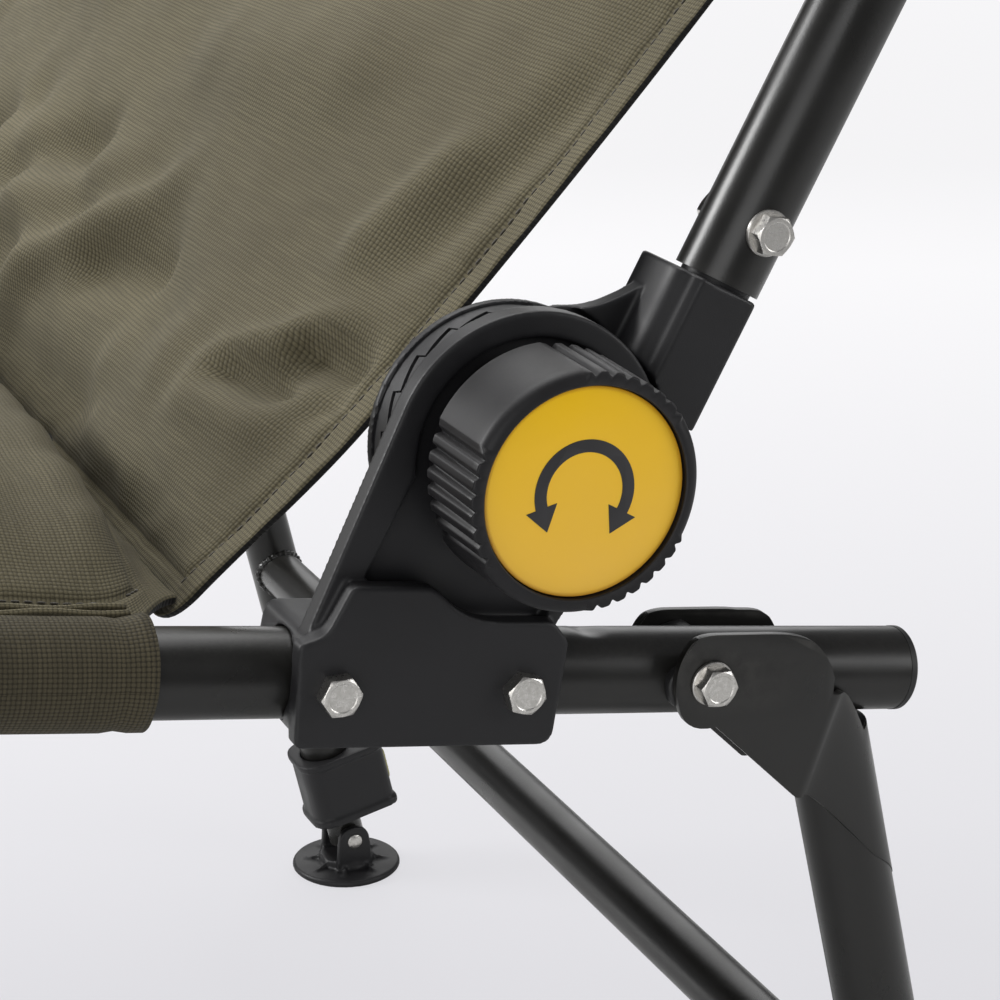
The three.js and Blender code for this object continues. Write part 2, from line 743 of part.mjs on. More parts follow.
function legLug(facing, drop) {
  const plate = plateX(legOutline(facing, drop), lugInnerFace, lugOuterFace);
  const hole = boreX(boltRadius, lugInnerFace - cutOverrun, lugOuterFace + cutOverrun, 0, 0);
  const weldStart = tubeRadius - tubeWall + seatGap;
  const weldEnd = lugInnerFace + seatGap;
  const weld = new THREE.BoxGeometry(weldEnd - weldStart, tubeRadius / 2, tubeRadius * 2);
  weld.translate((weldStart + weldEnd) / 2, facing * (legOffset - tubeRadius / 4), legTubeTop - tubeRadius);
  return join([cut(plate, [hole]), weld]);
}

// Distance from the pivot down the leg at which the foot's pin stands at its height over the floor
function pinDrop(pivotY, legDegrees, facing) {
  const lean = legDegrees * degree - seatTilt;
  const pivotZ = railHeight - pivotY * Math.sin(seatTilt) + legPivotHeight * Math.cos(seatTilt);
  const axisLift = facing * legOffset * Math.sin(lean);
  return (footPinHeight - pivotZ - axisLift) / Math.cos(lean);
}

// The locks sit just above the feet of the retracted rear legs, and the tubes end in them
const lockBottom = pinDrop(legPivotRear, rearLegDegrees, 1) + lockFootRoom;
const lockTop = lockBottom + lockHeight;
const legTubeEnd = lockTop - lockSeatDepth;

function legPlug() {
  const stem = barZ(plugStemRadius, legPlugTop - plugThickness * 4, legPlugTop, 0);
  const flange = barZ(tubeRadius, legTubeTop + seatGap, legPlugTop, 0, tubeSides);
  return join([stem, flange]);
}

function lockHousing(facing) {
  const body = plateZ(roundedShape([
    [-lockHalfWidth, -lockFront, lockCorner], [lockHalfWidth, -lockFront, lockCorner],
    [lockHalfWidth, lockRear, lockCorner], [-lockHalfWidth, lockRear, lockCorner],
  ]), lockBottom, lockTop);
  const tubeRoom = boreRadius(tubeRadius + seatGap, tubeSides);
  const tubeSeat = barZ(tubeRoom, legTubeEnd - seatGap, lockTop + cutOverrun, 0, tubeSides);
  const legRoom = boreRadius(innerLegRadius + seatGap, smallSides);
  const legBore = barZ(legRoom, lockBottom - cutOverrun, lockTop, 0);
  const pocketFloor = lockRear - buttonPocketDepth;
  const pocket = new THREE.BoxGeometry(buttonWidth + seatGap * 3, buttonPocketDepth + cutOverrun,
    buttonHeight + seatGap * 3);
  pocket.translate(0, pocketFloor + (buttonPocketDepth + cutOverrun) / 2, (lockTop + lockBottom) / 2);
  const housing = cut(body, [tubeSeat, legBore, pocket]);
  return facing > 0 ? housing : housing.rotateZ(Math.PI);
}

function lockButton(facing) {
  const button = plateZ(roundedShape([
    [-buttonWidth / 2, lockRear + buttonProud - buttonDepth, 0],
    [buttonWidth / 2, lockRear + buttonProud - buttonDepth, 0],
    [buttonWidth / 2, lockRear + buttonProud, buttonProud],
    [-buttonWidth / 2, lockRear + buttonProud, buttonProud],
  ]), (lockTop + lockBottom - buttonHeight) / 2, (lockTop + lockBottom + buttonHeight) / 2);
  return facing > 0 ? button : button.rotateZ(Math.PI);
}

function innerLeg(pin) {
  const tube = barZ(innerLegRadius, pin - footLugRadius / 2, pin + innerLegLength, 0);
  const hole = boreX(footPinRadius, -innerLegRadius - cutOverrun, innerLegRadius + cutOverrun, 0, pin);
  return cut(tube, [hole]);
}

// Swivel foot with its pin at the origin and its sole level
function mudFoot() {
  const profile = [
    [0, -footPinHeight], [footRadius - footRim / 2, -footPinHeight],
    [footRadius, -footPinHeight + footRim / 2], [footRadius, -footPinHeight + footRim],
    [footBossRadius, -footPinHeight + footPlate],
    [footBossRadius, -footPinHeight + footBossHeight], [0, -footPinHeight + footBossHeight],
  ];
  const disc = new THREE.LatheGeometry(toOutline(profile), footSides).rotateX(Math.PI / 2);
  const lugStart = innerLegRadius + seatGap;
  const lugs = [1, -1].map((side) => {
    const cheek = barX(footLugRadius, lugStart, lugStart + footLugThickness, 0, 0);
    const leg = new THREE.BoxGeometry(footLugThickness, footLugRadius * 2, footPinHeight - footPlate);
    leg.translate(lugStart + footLugThickness / 2, 0, -(footPinHeight - footPlate) / 2);
    return sided(join([cheek, leg]), side);
  });
  const pinHole = boreX(footPinRadius, -footRadius, footRadius, 0, 0);
  return cut(join([disc, ...lugs]), [pinHole]);
}

function footPin() {
  const reach = innerLegRadius + seatGap + footLugThickness + boltProud;
  return barX(footPinRadius, -reach, reach, 0, 0, boltSides);
}

function legFrame(end, pivotY, legDegrees, facing) {
  const frame = new THREE.Group();
  frame.position.set(0, pivotY, legPivotHeight);
  frame.rotation.x = legDegrees * degree;
  seat.add(frame);
  const axis = facing * legOffset;
  const onAxis = (geometry) => moved(geometry, 0, axis, 0);
  const tube = plateZ(ringShape(tubeRadius, tubeRadius - tubeWall, tubeSides), legTubeEnd, legTubeTop);
  const plug = legPlug();
  const housing = lockHousing(facing);
  const button = lockButton(facing);
  const outerLug = legLug(facing, 0);
  const innerLug = mirrored(legLug(facing, innerLugDrop));
  const leg = join([onAxis(tube), outerLug, innerLug]);
  const crossEnd = halfSpan - tubeRadius - seatGap;
  const crossTube = barX(crossTubeRadius, -crossEnd, crossEnd, axis, -crossTubeDrop);
  addPiece(frame, `${end}_cross_tube`, crossTube, finishes.tube);
  const pin = pinDrop(pivotY, legDegrees, facing);
  sides.forEach(([name, side]) => {
    addPiece(frame, `${end}_leg_${name}`, atRail(leg, side), finishes.tube);
    addPiece(frame, `${end}_leg_plug_${name}`, atRail(onAxis(plug), side), finishes.nylon);
    addPiece(frame, `${end}_lock_housing_${name}`, atRail(onAxis(housing), side), finishes.moulded);
    addPiece(frame, `${end}_lock_button_${name}`, atRail(onAxis(button), side), finishes.button);
    addPiece(frame, `${end}_inner_leg_${name}`, atRail(onAxis(innerLeg(pin)), side), finishes.tube);
    const foot = new THREE.Group();
    foot.position.set(side * halfSpan, axis, pin);
    foot.rotation.x = seatTilt - legDegrees * degree;
    frame.add(foot);
    addPiece(foot, `${end}_foot_${name}`, mudFoot(), finishes.moulded);
    addPiece(foot, `${end}_foot_pin_${name}`, footPin(), finishes.steel);
  });
  return frame;
}

function legPivots() {
  const seatX = lugOuterFace + seatGap;
  [['rear', legPivotRear], ['front', legPivotFront]].forEach(([end, y]) => {
    const bolt = boltSet(seatX, -seatX, y, legPivotHeight, washerThickness);
    sides.forEach(([name, side]) => {
      addPiece(seat, `${end}_leg_bolt_${name}`, atRail(bolt, side), finishes.steel);
    });
  });
}

// Closed pad: a front and a back sheet on one grid that meet all round its edge
function pad(columns, rows, place) {
  const vertices = [];
  const ids = { front: [], back: [] };
  const spread = (share) => Math.sin((Math.PI / 2) * share);
  const add = (point) => {
    vertices.push(...point);
    return vertices.length / 3 - 1;
  };
  for (let row = 0; row <= rows; row += 1) {
    ids.front.push([]);
    ids.back.push([]);
    for (let column = 0; column <= columns; column += 1) {
      const across = spread((2 * column) / columns - 1);
      const along = spread((2 * row) / rows - 1);
      const edge = row === 0 || row === rows || column === 0 || column === columns;
      ids.front[row].push(add(place(across, along, edge ? 0 : 1)));
      ids.back[row].push(edge ? ids.front[row][column] : add(place(across, along, -1)));
    }
  }
  const index = [];
  for (let row = 0; row < rows; row += 1) {
    for (let column = 0; column < columns; column += 1) {
      const corners = (sheet) => [sheet[row][column], sheet[row][column + 1],
        sheet[row + 1][column + 1], sheet[row + 1][column]];
      const [a, b, c, d] = corners(ids.front);
      index.push(a, b, c, a, c, d);
      const [e, f, g, h] = corners(ids.back);
      index.push(e, g, f, e, h, g);
    }
  }
  const geometry = new THREE.BufferGeometry();
  geometry.setAttribute('position', new THREE.Float32BufferAttribute(vertices, 3));
  geometry.setIndex(index);
  return toGeometry(toSolid(geometry));
}

const crown = (share) => Math.sqrt(Math.max(0, 1 - Math.abs(share) ** crownPowerShare));
const smooth = (value, from, to) => THREE.MathUtils.smoothstep(value, from, to);
const padHalfWidth = halfSpan - sleeveRadius + matSleeveThickness;

function seatPad() {
  const front = -frontBarReach + sleeveRadius - matSleeveThickness;
  const rear = seatPadRear;
  const bowPowerShare = 6;
  return pad(padColumns, seatPadRows, (across, along, face) => {
    const y = THREE.MathUtils.lerp(front, rear, (along + 1) / 2);
    const inSleeve = smooth(y, seatSleeveFront, seatSleeveFront + matNarrowing * 2);
    const leave = 1 - smooth(y, seatSleeveRear - matNarrowing * 4, rear);
    const corner = frameBendRadius * Math.max(0, -along) ** roundCornerPowerShare;
    const drawn = matNarrowing * (2 - inSleeve - leave) + corner;
    const bow = clampCorner * along * Math.abs(across) ** bowPowerShare;
    const x = (padHalfWidth - drawn) * across;
    const full = crown(across) * crown(along);
    const height = seatPadEdge + (face > 0 ? seatPadCrown : -seatPadSag) * full * Math.abs(face);
    return [x, y - bow, height];
  });
}

// Back pad: hangs free over the hub, then lies in the plane of the backrest tubes
function backPad() {
  const top = backHeight - sleeveRadius + matSleeveThickness;
  return pad(padColumns, backPadRows, (across, along, face) => {
    const s = THREE.MathUtils.lerp(backPadBottom, top, (along + 1) / 2);
    const hang = Math.max(0, 1 - (s - backPadBottom) / backHangLength);
    const middle = backMatPlane - backHang * hang ** backHangPowerShare;
    const held = smooth(s, backSleeveBottom - matNarrowing * 3, backSleeveBottom);
    const corner = frameBendRadius * Math.max(0, along) ** roundCornerPowerShare;
    const drawn = matNarrowing * (1 - held) + corner;
    const full = crown(across) * crown(along);
    const rearCrown = backPadThickness - backPadFrontCrown / 2;
    const depth = (face > 0 ? -backPadFrontCrown : rearCrown) * full * Math.abs(face);
    return [(padHalfWidth - drawn) * across, middle + depth, s];
  });
}

function sleeveAlong(reach) {
  return plateZ(ringShape(sleeveRadius, boreRadius(tubeRadius + seatGap, tubeSides), tubeSides), 0, reach);
}

function matParts() {
  const barReach = halfSpan - frameBendRadius - matNarrowing;
  const barSleeve = sleeveAlong(barReach * 2).rotateY(Math.PI / 2).translate(-barReach, 0, 0);
  const railSleeve = sleeveAlong(seatSleeveRear - seatSleeveFront).rotateX(-Math.PI / 2)
    .translate(0, seatSleeveFront, 0);
  const seatBarSleeve = moved(barSleeve, 0, -frontBarReach, 0);
  const seatMat = join([seatPad(), ...bothRails(railSleeve), seatBarSleeve]);
  addPiece(seat, 'seat_mat', seatMat, finishes.fabric);
  const backSleeve = sleeveAlong(backHeight - frameBendRadius - matNarrowing - backSleeveBottom)
    .translate(0, backTubeOffset, backSleeveBottom);
  const backBarSleeve = moved(barSleeve, 0, backTubeOffset, backHeight);
  const backMat = join([backPad(), ...bothRails(backSleeve), backBarSleeve]);
  addPiece(backrest, 'back_mat', backMat, finishes.fabric);
}

seatFrame();
railEndCaps();
hubParts();
knobs();
backrestParts();
legPivots();
legFrame('rear', legPivotRear, rearLegDegrees, 1);
legFrame('front', legPivotFront, frontLegDegrees, -1);
matParts();

// The origin is on the floor, under the middle of the chair
chair.updateMatrixWorld(true);
const extent = new THREE.Box3().setFromObject(chair, true);
chair.position.y = -(extent.min.y + extent.max.y) / 2;
chair.updateMatrixWorld(true);

export default chair;
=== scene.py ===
import json
from math import acos, atan2, cos, exp, floor, hypot, pi, radians, sin, sqrt

import bmesh
import bpy
from mathutils import Matrix, Vector, noise


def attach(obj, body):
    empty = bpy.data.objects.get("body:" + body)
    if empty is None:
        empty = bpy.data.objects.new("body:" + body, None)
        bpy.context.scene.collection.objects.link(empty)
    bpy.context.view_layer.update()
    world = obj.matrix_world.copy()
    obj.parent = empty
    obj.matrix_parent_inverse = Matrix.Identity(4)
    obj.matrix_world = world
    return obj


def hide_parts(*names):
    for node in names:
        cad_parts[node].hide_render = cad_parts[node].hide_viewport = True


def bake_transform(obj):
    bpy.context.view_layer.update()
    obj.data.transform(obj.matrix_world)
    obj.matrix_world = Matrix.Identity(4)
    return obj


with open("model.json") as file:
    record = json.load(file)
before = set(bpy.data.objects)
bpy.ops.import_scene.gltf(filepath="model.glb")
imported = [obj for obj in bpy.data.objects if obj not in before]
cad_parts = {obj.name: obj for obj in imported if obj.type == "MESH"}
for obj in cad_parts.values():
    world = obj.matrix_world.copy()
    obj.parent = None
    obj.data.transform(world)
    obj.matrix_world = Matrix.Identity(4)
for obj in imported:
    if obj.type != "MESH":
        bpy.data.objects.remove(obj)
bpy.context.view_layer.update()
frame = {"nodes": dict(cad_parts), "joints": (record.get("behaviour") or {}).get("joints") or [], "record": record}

record = frame["record"]
BODY_OF = {node: body for body, nodes in record["behaviour"]["bodies"].items() for node in nodes}
HINGES = [joint for joint in frame["joints"] if joint["type"] == "hinge"]
JOINT_PLACE = {joint["name"]: Vector(joint["pos_m"]) for joint in HINGES}
SIDES = (("left", 1), ("right", -1))
LEG_ENDS = (("rear", 1), ("front", -1))
QUARTER = radians(90)
PLAIN_SHARP = radians(35)
MOULDED_SHARP = radians(50)

# Frame sizes
HALF_SPAN = 0.303
TUBE_RADIUS = 0.0125
FRAME_BEND = 0.055
RAIL_REAR = 0.1386
FRONT_BAR = 0.640
BACK_HEIGHT = 0.640
BACK_TUBE_OFFSET = 0.0366
BACK_TUBE_BOTTOM = 0.0643
TUBE_STEP = 0.004
TUBE_SIDES = 40
BEND_STEPS = 20
END_RIM = 0.0011
CAP_PROFILE_SHARES = ((-3, 1), (-1, 1), (-1, 0), (0.5, 0), (1, 0.4), (1.25, 1))
CAP_FACE_SHARE = 1.4
SEAT_TILT = radians(9)
BACK_TILT = radians(19.86)
LEG_TILT = {"rear": radians(21.86), "front": radians(-3)}
DIMPLE_PLACE = 0.033
DIMPLE_RADIUS = 0.006
DIMPLE_DEPTH = 0.0011

# Hub sizes, with x measured out from the rail's middle
HUB_HEIGHT = 0.0666
HUB_RADIUS = 0.0395
HUB_FACE = 0.014
WEB_FACE = 0.0102
HUB_BACK = 0.0098
ARM_BACK = 0.0070
POCKET_RADIUS = 0.0324
FAR_RADIUS = 0.0377
FAR_BACK = -0.0092
FAR_FRONT = -0.0065
TOOTH_COUNT = 20
TOOTH_CORNER = radians(16)
TOOTH_RADIUS = 0.0366
TOOTH_DROP_SHARE = 0.055
TOOTH_BORE = 0.029
TOOTH_LOW = -0.0021
TOOTH_HIGH = 0.0022
TOOTH_GAP = 0.0019
TOOTH_STEPS = 8
MOULD_VOXEL = 0.00065
SMALL_VOXEL = 0.0008
OVERRUN = 0.004
FIT = 0.0003
SAME_PLACE = 1e-6
WIDE_STEPS = 96
UPRIGHT_STEPS = 64

# Clamp outlines in the plane of the rail: along the rail, up, corner radius
CLAMP_INNER = -0.0175
CLAMP_SHOULDER = 0.0152
CLAMP_FACE = 0.020
BLOCK_OUTLINE = (
    (-0.0600, -0.0085, 0.003), (-0.0555, -0.0143, 0.002), (0.0165, -0.0143, 0.004),
    (0.0165, 0.0155, 0.003), (-0.0575, 0.0155, 0.004),
)
PLATE_OUTLINE = (
    (-0.0586, -0.0144, 0.002), (0.0174, -0.0146, 0.005), (0.0178, 0.0156, 0.0015),
    (0.0124, 0.0213, 0.002), (-0.0130, 0.0213, 0.011), (-0.0246, 0.0310, 0.003),
    (-0.0480, 0.0310, 0.002), (-0.0536, 0.0172, 0.003), (-0.0610, 0.0147, 0.0015),
)
WEB_OUTLINE = (
    (-0.0440, 0.0195, 0.002), (0.0115, 0.0195, 0.001), (0.0290, 0.0480, 0.001),
    (0.0, 0.0700, 0.001), (-0.0280, 0.0700, 0.001), (-0.0440, 0.0275, 0.002),
)
ARM_FOOT = (-0.057, 0.0145)
ARM_HEEL = (0.014, 0.0145)
ARM_ARC_START = radians(-48)
ARM_ARC_STEPS = 40
BORE_REACH = 0.1

# Backrest socket: section across the tube (x, depth, radius) and web outline (depth, rise, radius)
SOCKET_SECTION = (
    (-0.015, 0.0195, 0.003), (-0.011, 0.0186, 0.002), (0.0070, 0.0186, 0.004),
    (0.0108, 0.0222, 0.001), (0.0126, 0.0228, 0.0004), (0.0145, 0.0243, 0.0004),
    (0.0136, 0.0433, 0.0006), (-0.0020, 0.0495, 0.004), (-0.013, 0.0495, 0.003), (-0.015, 0.044, 0.002),
)
SOCKET_BOTTOM = 0.024
SOCKET_TOP = 0.0630
WEB_SWEEP = (
    (0.0, 0.0, 0), (-0.0020, 0.0382, 0.001), (0.0080, 0.0425, 0.012), (0.0178, 0.0529, 0.008),
    (0.0215, 0.0590, 0.002), (0.0450, 0.0590, 0.002), (0.0470, 0.0240, 0.004),
    (0.0470, -0.0060, 0.020), (0.0340, -0.0170, 0.010),
)
SPIGOT_RADIUS = 0.0104
SPIGOT_TOP = 0.0800
SOCKET_WEB_FACE = -0.0035
SOCKET_WEB_STEPS = 8
SOCKET_KEEP_SHARE = 0.6
DISC_ROOM = 0.0012
DISC_ROOM_REACH = 0.05

# Knob
KNOB_RADIUS = 0.0334
KNOB_BACK = 0.0212
KNOB_COLLAR_RADIUS = 0.0290
KNOB_BOSS_BACK = 0.0104
KNOB_BOSS_RADIUS = 0.012
KNOB_FACE = 0.050
KNOB_CORNER = 0.0036
KNOB_RIB_CORNER = 0.0007
GROOVE_DEPTH = 0.0017
RIB_DROP = 0.0005
GROOVE_FADE_SHARE = 0.3
GROOVE_COUNT = 7
GROOVE_GROUPS = 3
GROOVE_PITCH = radians(8.3)
FIRST_GROUP = radians(70)
GROOVE_SHARPNESS_SHARE = 3.2
KNOB_STEPS = 900
KNOB_SECTIONS = 10
KNOB_CORNER_STEPS = 7
KNOB_BACK_INSET = 0.0008
KNOB_DRAFT = 0.0004
KNOB_LIP = 0.0003
KNOB_SHARP = radians(40)
RIB_FADE_SHARE = 0.15
BADGE_RADIUS = 0.0284
BADGE_FACE = 0.0483
BADGE_THICKNESS = 0.0017
BADGE_EDGE = 0.0004
BADGE_ROUNDING_SHARE = 0.3
BADGE_STEPS = 128
MARK_RADIUS = 0.0125
MARK_WIDTH = 0.0034
MARK_HEAD = 0.0045
MARK_THICKNESS = 0.00018
MARK_SWEEP = radians(112)
MARK_STEPS = 48
MARK_TIP_SHARE = 1.5

# Fasteners
BOLT_RADIUS = 0.003
HEAD_HEIGHT = 0.0044
HEAD_CORNERS = 0.0120
WASHER_RADIUS = 0.0065
WASHER_THICKNESS = 0.0014
NUT_HEIGHT = 0.005
BOLT_PROUD = 0.0012
HEAD_DISH = 0.00016
HUB_BOLT_RADIUS = 0.004
HUB_HEAD_CORNERS = 0.015
HUB_HEAD_HEIGHT = 0.005
HUB_BOLT_END = 0.040
FASTENER_SHARP = radians(25)
CLAMP_BOLTS = ((-0.0487, 0.0015, radians(30)), (0.0055, 0.0015, radians(12)))
BACK_BOLT = (0.0366, 0.0816, radians(20))
LEG_BOLT_TURN = radians(24)
HEAD_STEPS = 72
HEAD_CHAMFER_SHARE = 0.97
HEAD_CHAMFER_SLOPE = 1.7
HEAD_RISE_SHARES = (0.10, 0.07, 0.04, 0.02, 0.0)
HEAD_RIM_SHARE = 0.80
HEAD_DISH_SHARE = 0.74
WASHER_EDGE_SHARE = 0.2
WASHER_STEPS = 64
SHANK_STEPS = 48
SHANK_END_SHARE = 0.8

# Legs
LEG_OFFSET = 0.0408
LEG_TOP = -0.0392
LEG_END = -0.341
LEG_SHARP = radians(32)
LUG_FACE = 0.0175
SHEET_THICKNESS = 0.0022
LUG_OUTLINE = (
    (-0.0110, -0.0128, 0.010), (-0.0110, 0.0048, 0.006), (-0.0040, 0.0142, 0.006), (0.0020, 0.0143, 0.004),
    (0.0325, 0.0026, 0.012), (0.0385, -0.0085, 0.008), (0.0386, -0.0205, 0),
)
LUG_TOE = (0.0208, -0.0478)
INNER_LUG_DROP = 0.004
LUG_DROP_RUN = 0.010
LUG_DROP_START_SHARE = 0.6
LUG_ROUND_STEPS = 7
SHEET_EDGE = 0.0005
SHEET_BEND = radians(40)
WRAP_TOP = -0.0394
WRAP_TOE = -0.0800
WRAP_REAR_TOE = -0.0990
WRAP_SKIN = 0.0003
WRAP_STEPS = 7
FOLD_REACH = 0.0018
FOLD_ANGLE = radians(30)
FOLD_LENGTH = 0.0055
FOLD_STEPS = 5
STRIP_STEPS = 8
CREASE_STEPS = 8
SPACER_OUTLINE = (
    (-0.0122, -0.0062, 0.005), (0.0120, -0.0062, 0.005), (0.0100, 0.0055, 0.005), (-0.0118, 0.0058, 0.005),
)
SPACER_FACES = (0.0070, 0.0152)
SPACER_EDGE = 0.0008
BEVEL_SEGMENTS = 3
CROSS_RADIUS = 0.011
CROSS_DROP = 0.201
WELD_RADIUS = 0.0017
WELD_STEPS = 120
WELD_SIDES = 10
WELD_RIPPLES = ((26, 0.16), (11, 0.08))
SADDLE_RADIUS = 0.0122
PLUG_RISE = 0.0008
PLUG_WALL_INSET = 0.0016
PLUG_RIM_INSET = 0.0002
PLUG_EDGE_INSET = 0.0012
PLUG_FACE_INSET = 0.003
PLUG_EDGE_SHARE = 0.85
PLUG_DISH_SHARES = (0.6, 0.4)
INNER_LEG_RADIUS = 0.0095
INNER_LEG_LENGTH = 0.215
LEG_HOLE_PITCH = 0.0145
LEG_HOLE_RADIUS = 0.0032
LEG_HOLE_DEPTH = 0.0016
FIRST_HOLE = 0.018
INNER_LEG_SIDES = 48
INNER_LEG_STEP = 0.0016
INNER_LEG_MADE_SHARE = 0.78
INNER_LEG_FOOT_SHARE = 0.45
LOCK_HALF_WIDTH = 0.0165
LOCK_FRONT = -0.017
LOCK_REAR = 0.028
LOCK_BOTTOM = -0.348
LOCK_TOP = -0.310
LOCK_MIDDLE = (LOCK_TOP + LOCK_BOTTOM) / 2
LOCK_CORNER = 0.006
LOCK_COLLAR = 0.0012
LOCK_STEPS = 8
LOCK_ROOM_SHARE = 1.5
SMALL_KEEP_SHARE = 0.45
BUTTON_WIDTH = 0.015
BUTTON_HEIGHT = 0.018
BUTTON_PROUD = 0.0022
BUTTON_DEPTH = 0.0055
BUTTON_TRAVEL = 0.003
BUTTON_RIDGE = 0.0006
BUTTON_EDGE_SHARE = 0.8
BUTTON_EDGE_STEPS = 5
BUTTON_RIDGE_STEPS = 20
BUTTON_RIDGE_REACH_SHARE = 0.66
BUTTON_RIDGE_PITCH_SHARE = 0.2
FOOT_RADIUS = 0.029
FOOT_PLATE = 0.004
FOOT_PIN_HEIGHT = 0.020
FOOT_PIN_RADIUS = 0.003
FOOT_LUG_RADIUS = 0.008
FOOT_LUG_THICKNESS = 0.004
FOOT_BOSS_RADIUS = 0.015
FOOT_BOSS_RISE = 0.004
FOOT_BOSS_TAPER = 0.001
FOOT_RIM_PROFILE = ((0.0, 0.0015), (0.0015, 0.0), (0.003, 0.0), (0.0042, 0.0012), (0.004, 0.0042))
FOOT_LUG_FLARE_SHARE = 1.25
FOOT_LUG_STEPS = 8
FOOT_RIBS = 8
FOOT_RIB_HALF_WIDTH = 0.0008
FOOT_RIB_SINK = 0.001
FOOT_RIB_START_SHARE = 0.8
FOOT_RIB_ENDS = ((0.0045, -0.001), (0.006, 0.0004))
FOOT_RIB_TOP = 0.0026
PIN_DOME_SHARES = ((1, 0), (0.85, 0.8), (0.3, 1.3), (0, 1.35), (0, 1))
PIN_STEPS = 40

# Mat
SLEEVE_RADIUS = 0.0154
SLEEVE_SEAT = (-0.500, -0.0965)
SLEEVE_BACK = (0.215, 0.567)
HEM_WIDTH = 0.0125
HEM_STATION_SHARES = (0.0, 0.12, 0.4, 0.78, 0.92, 1.0, 1.09, 1.35, 1.75, 2.3, 3.0)
SLEEVE_HEM = 0.008
SLEEVE_SIDES = 56
SLEEVE_STEP = 0.004
SLEEVE_SLACK = 0.0005
SLACK_SIZE = 0.05
SLEEVE_GROOVE = 0.0006
SLEEVE_GROOVE_WIDTH = 0.0016
SLEEVE_FLARE = 0.0012
SLEEVE_FLARE_LENGTH = 0.003
SLEEVE_PULL = 0.0016
SEAT_SLEEVE_TURN = radians(118)
RIDGE_INSETS = (0.0045, 0.0085)
RIDGE_RADIUS = 0.0011
RIDGE_HEIGHT = 0.0152
RIDGE_WAVE = 0.0004
RIDGE_WAVE_TURN = 210.0
RIDGE_WAVE_SHIFT = 900.0
RIDGE_STEP = 0.004
RIDGE_SIDES = 8
HEM_THICKNESS = 0.0026
SEAT_REAR = -0.0745
SEAT_REAR_ROUNDING = 0.022
SEAT_REAR_NARROWING = 0.028
SEAT_CROWN = 0.034
SEAT_SAG = 0.017
BACK_BOTTOM = -0.0895
HANG_FOOT = -0.082
BACK_CROWN_FRONT = 0.017
BACK_CROWN_REAR = 0.011
BACK_PLANE = 0.030
BACK_HANG = 0.078
BACK_HANG_LENGTH = 0.330
PAD_HALF_WIDTH = 0.2902
MAT_NARROWING = 0.013
MAT_END_GAP = 0.0128
PAD_SLOPE = 0.05
CROWN_POWER = 3.0
BACK_END_POWER = 6.0
SEAT_END_POWER = 9.0
HANG_POWER = 1.3
TOE_NARROWING = 0.011
TOE_START = -0.013
CORNER_RADIUS = 0.010
GRID_STEP = 0.0095
SWELL_CAP = 0.012
SWELL_FRAMES = 20
SWELL_SETTINGS = {
    "vertex_group_mass": "sewn", "use_pressure": True, "uniform_pressure_force": 4.0, "quality": 5,
    "bending_stiffness": 2.0, "tension_stiffness": 25.0, "compression_stiffness": 25.0,
}
HEM_GROOVE = 0.0012
HEM_GROOVE_WIDTH = 0.0014
HEM_PUCKER = 0.0012
BROAD_SIZES = (0.085, 0.055, 0.17, 3.7)
FINE_SIZES = (0.030, 0.018, 0.05, 9.1)
PUCKER_SIZES = (0.012, 0.012, None, 5.3)
REAR_SIZES = (0.09, 0.07, None, 21.0)
BACK_BROAD = 0.0036
BACK_FINE = 0.0010
SEAT_BROAD = 0.0038
SEAT_FINE = 0.0010
CLOTH_SUBDIVISION = ("SUBSURF", {"levels": 1, "render_levels": 1, "uv_smooth": "NONE"})
# Slot of the sleeves' darker copy of the mat's cloth, painted shade
SHADED_SLEEVE_SLOT = 2
STITCH_PITCH = 0.0036
STITCH_LENGTH = 0.0026
STITCH_RADIUS = 0.00035
PLACE_DIGITS = 5

# Folds of the mat: start and end on the flat cloth, width, height
BACK_FOLDS = (
    ((0.491, 0.064), (0.542, 0.098), 0.0055, 0.0050),
    ((0.528, 0.084), (0.560, 0.087), 0.0070, -0.0095),
    ((0.498, 0.067), (0.541, 0.071), 0.0055, -0.0080),
    ((0.492, 0.054), (0.550, 0.060), 0.0075, 0.0045),
    ((0.552, 0.070), (0.564, 0.079), 0.0040, -0.0025),
    ((0.520, 0.110), (0.535, 0.160), 0.0090, 0.0045),
    ((0.545, 0.112), (0.558, 0.190), 0.0090, -0.0040),
    ((0.250, 0.052), (0.345, 0.100), 0.0110, 0.0070),
    ((0.360, 0.064), (0.415, 0.080), 0.0090, -0.0080),
    ((0.300, 0.034), (0.395, 0.110), 0.0095, 0.0075),
    ((0.240, 0.074), (0.310, 0.110), 0.0090, -0.0060),
    ((0.305, 0.028), (0.430, 0.026), 0.0090, -0.0055),
    ((0.400, 0.010), (0.580, 0.003), 0.0055, -0.0015),
    ((0.440, 0.028), (0.500, 0.024), 0.0070, 0.0030),
    ((0.420, 0.050), (0.480, 0.064), 0.0140, 0.0040),
    ((0.340, 0.150), (0.470, 0.165), 0.0200, 0.0050),
    ((0.300, 0.190), (0.480, 0.230), 0.0240, -0.0060),
    ((0.120, 0.050), (0.220, 0.110), 0.0150, -0.0070),
)
SEAT_FOLDS = (
    ((0.30, 0.012), (0.56, 0.020), 0.0100, 0.0030),
    ((0.42, 0.045), (0.54, 0.036), 0.0120, -0.0040),
    ((0.05, 0.070), (0.20, 0.050), 0.0200, -0.0030),
)
MIRROR_SHARES = (1.07, 0.96, 0.85)
FOLD_TAPER_SHARES = (0.15, 0.2)

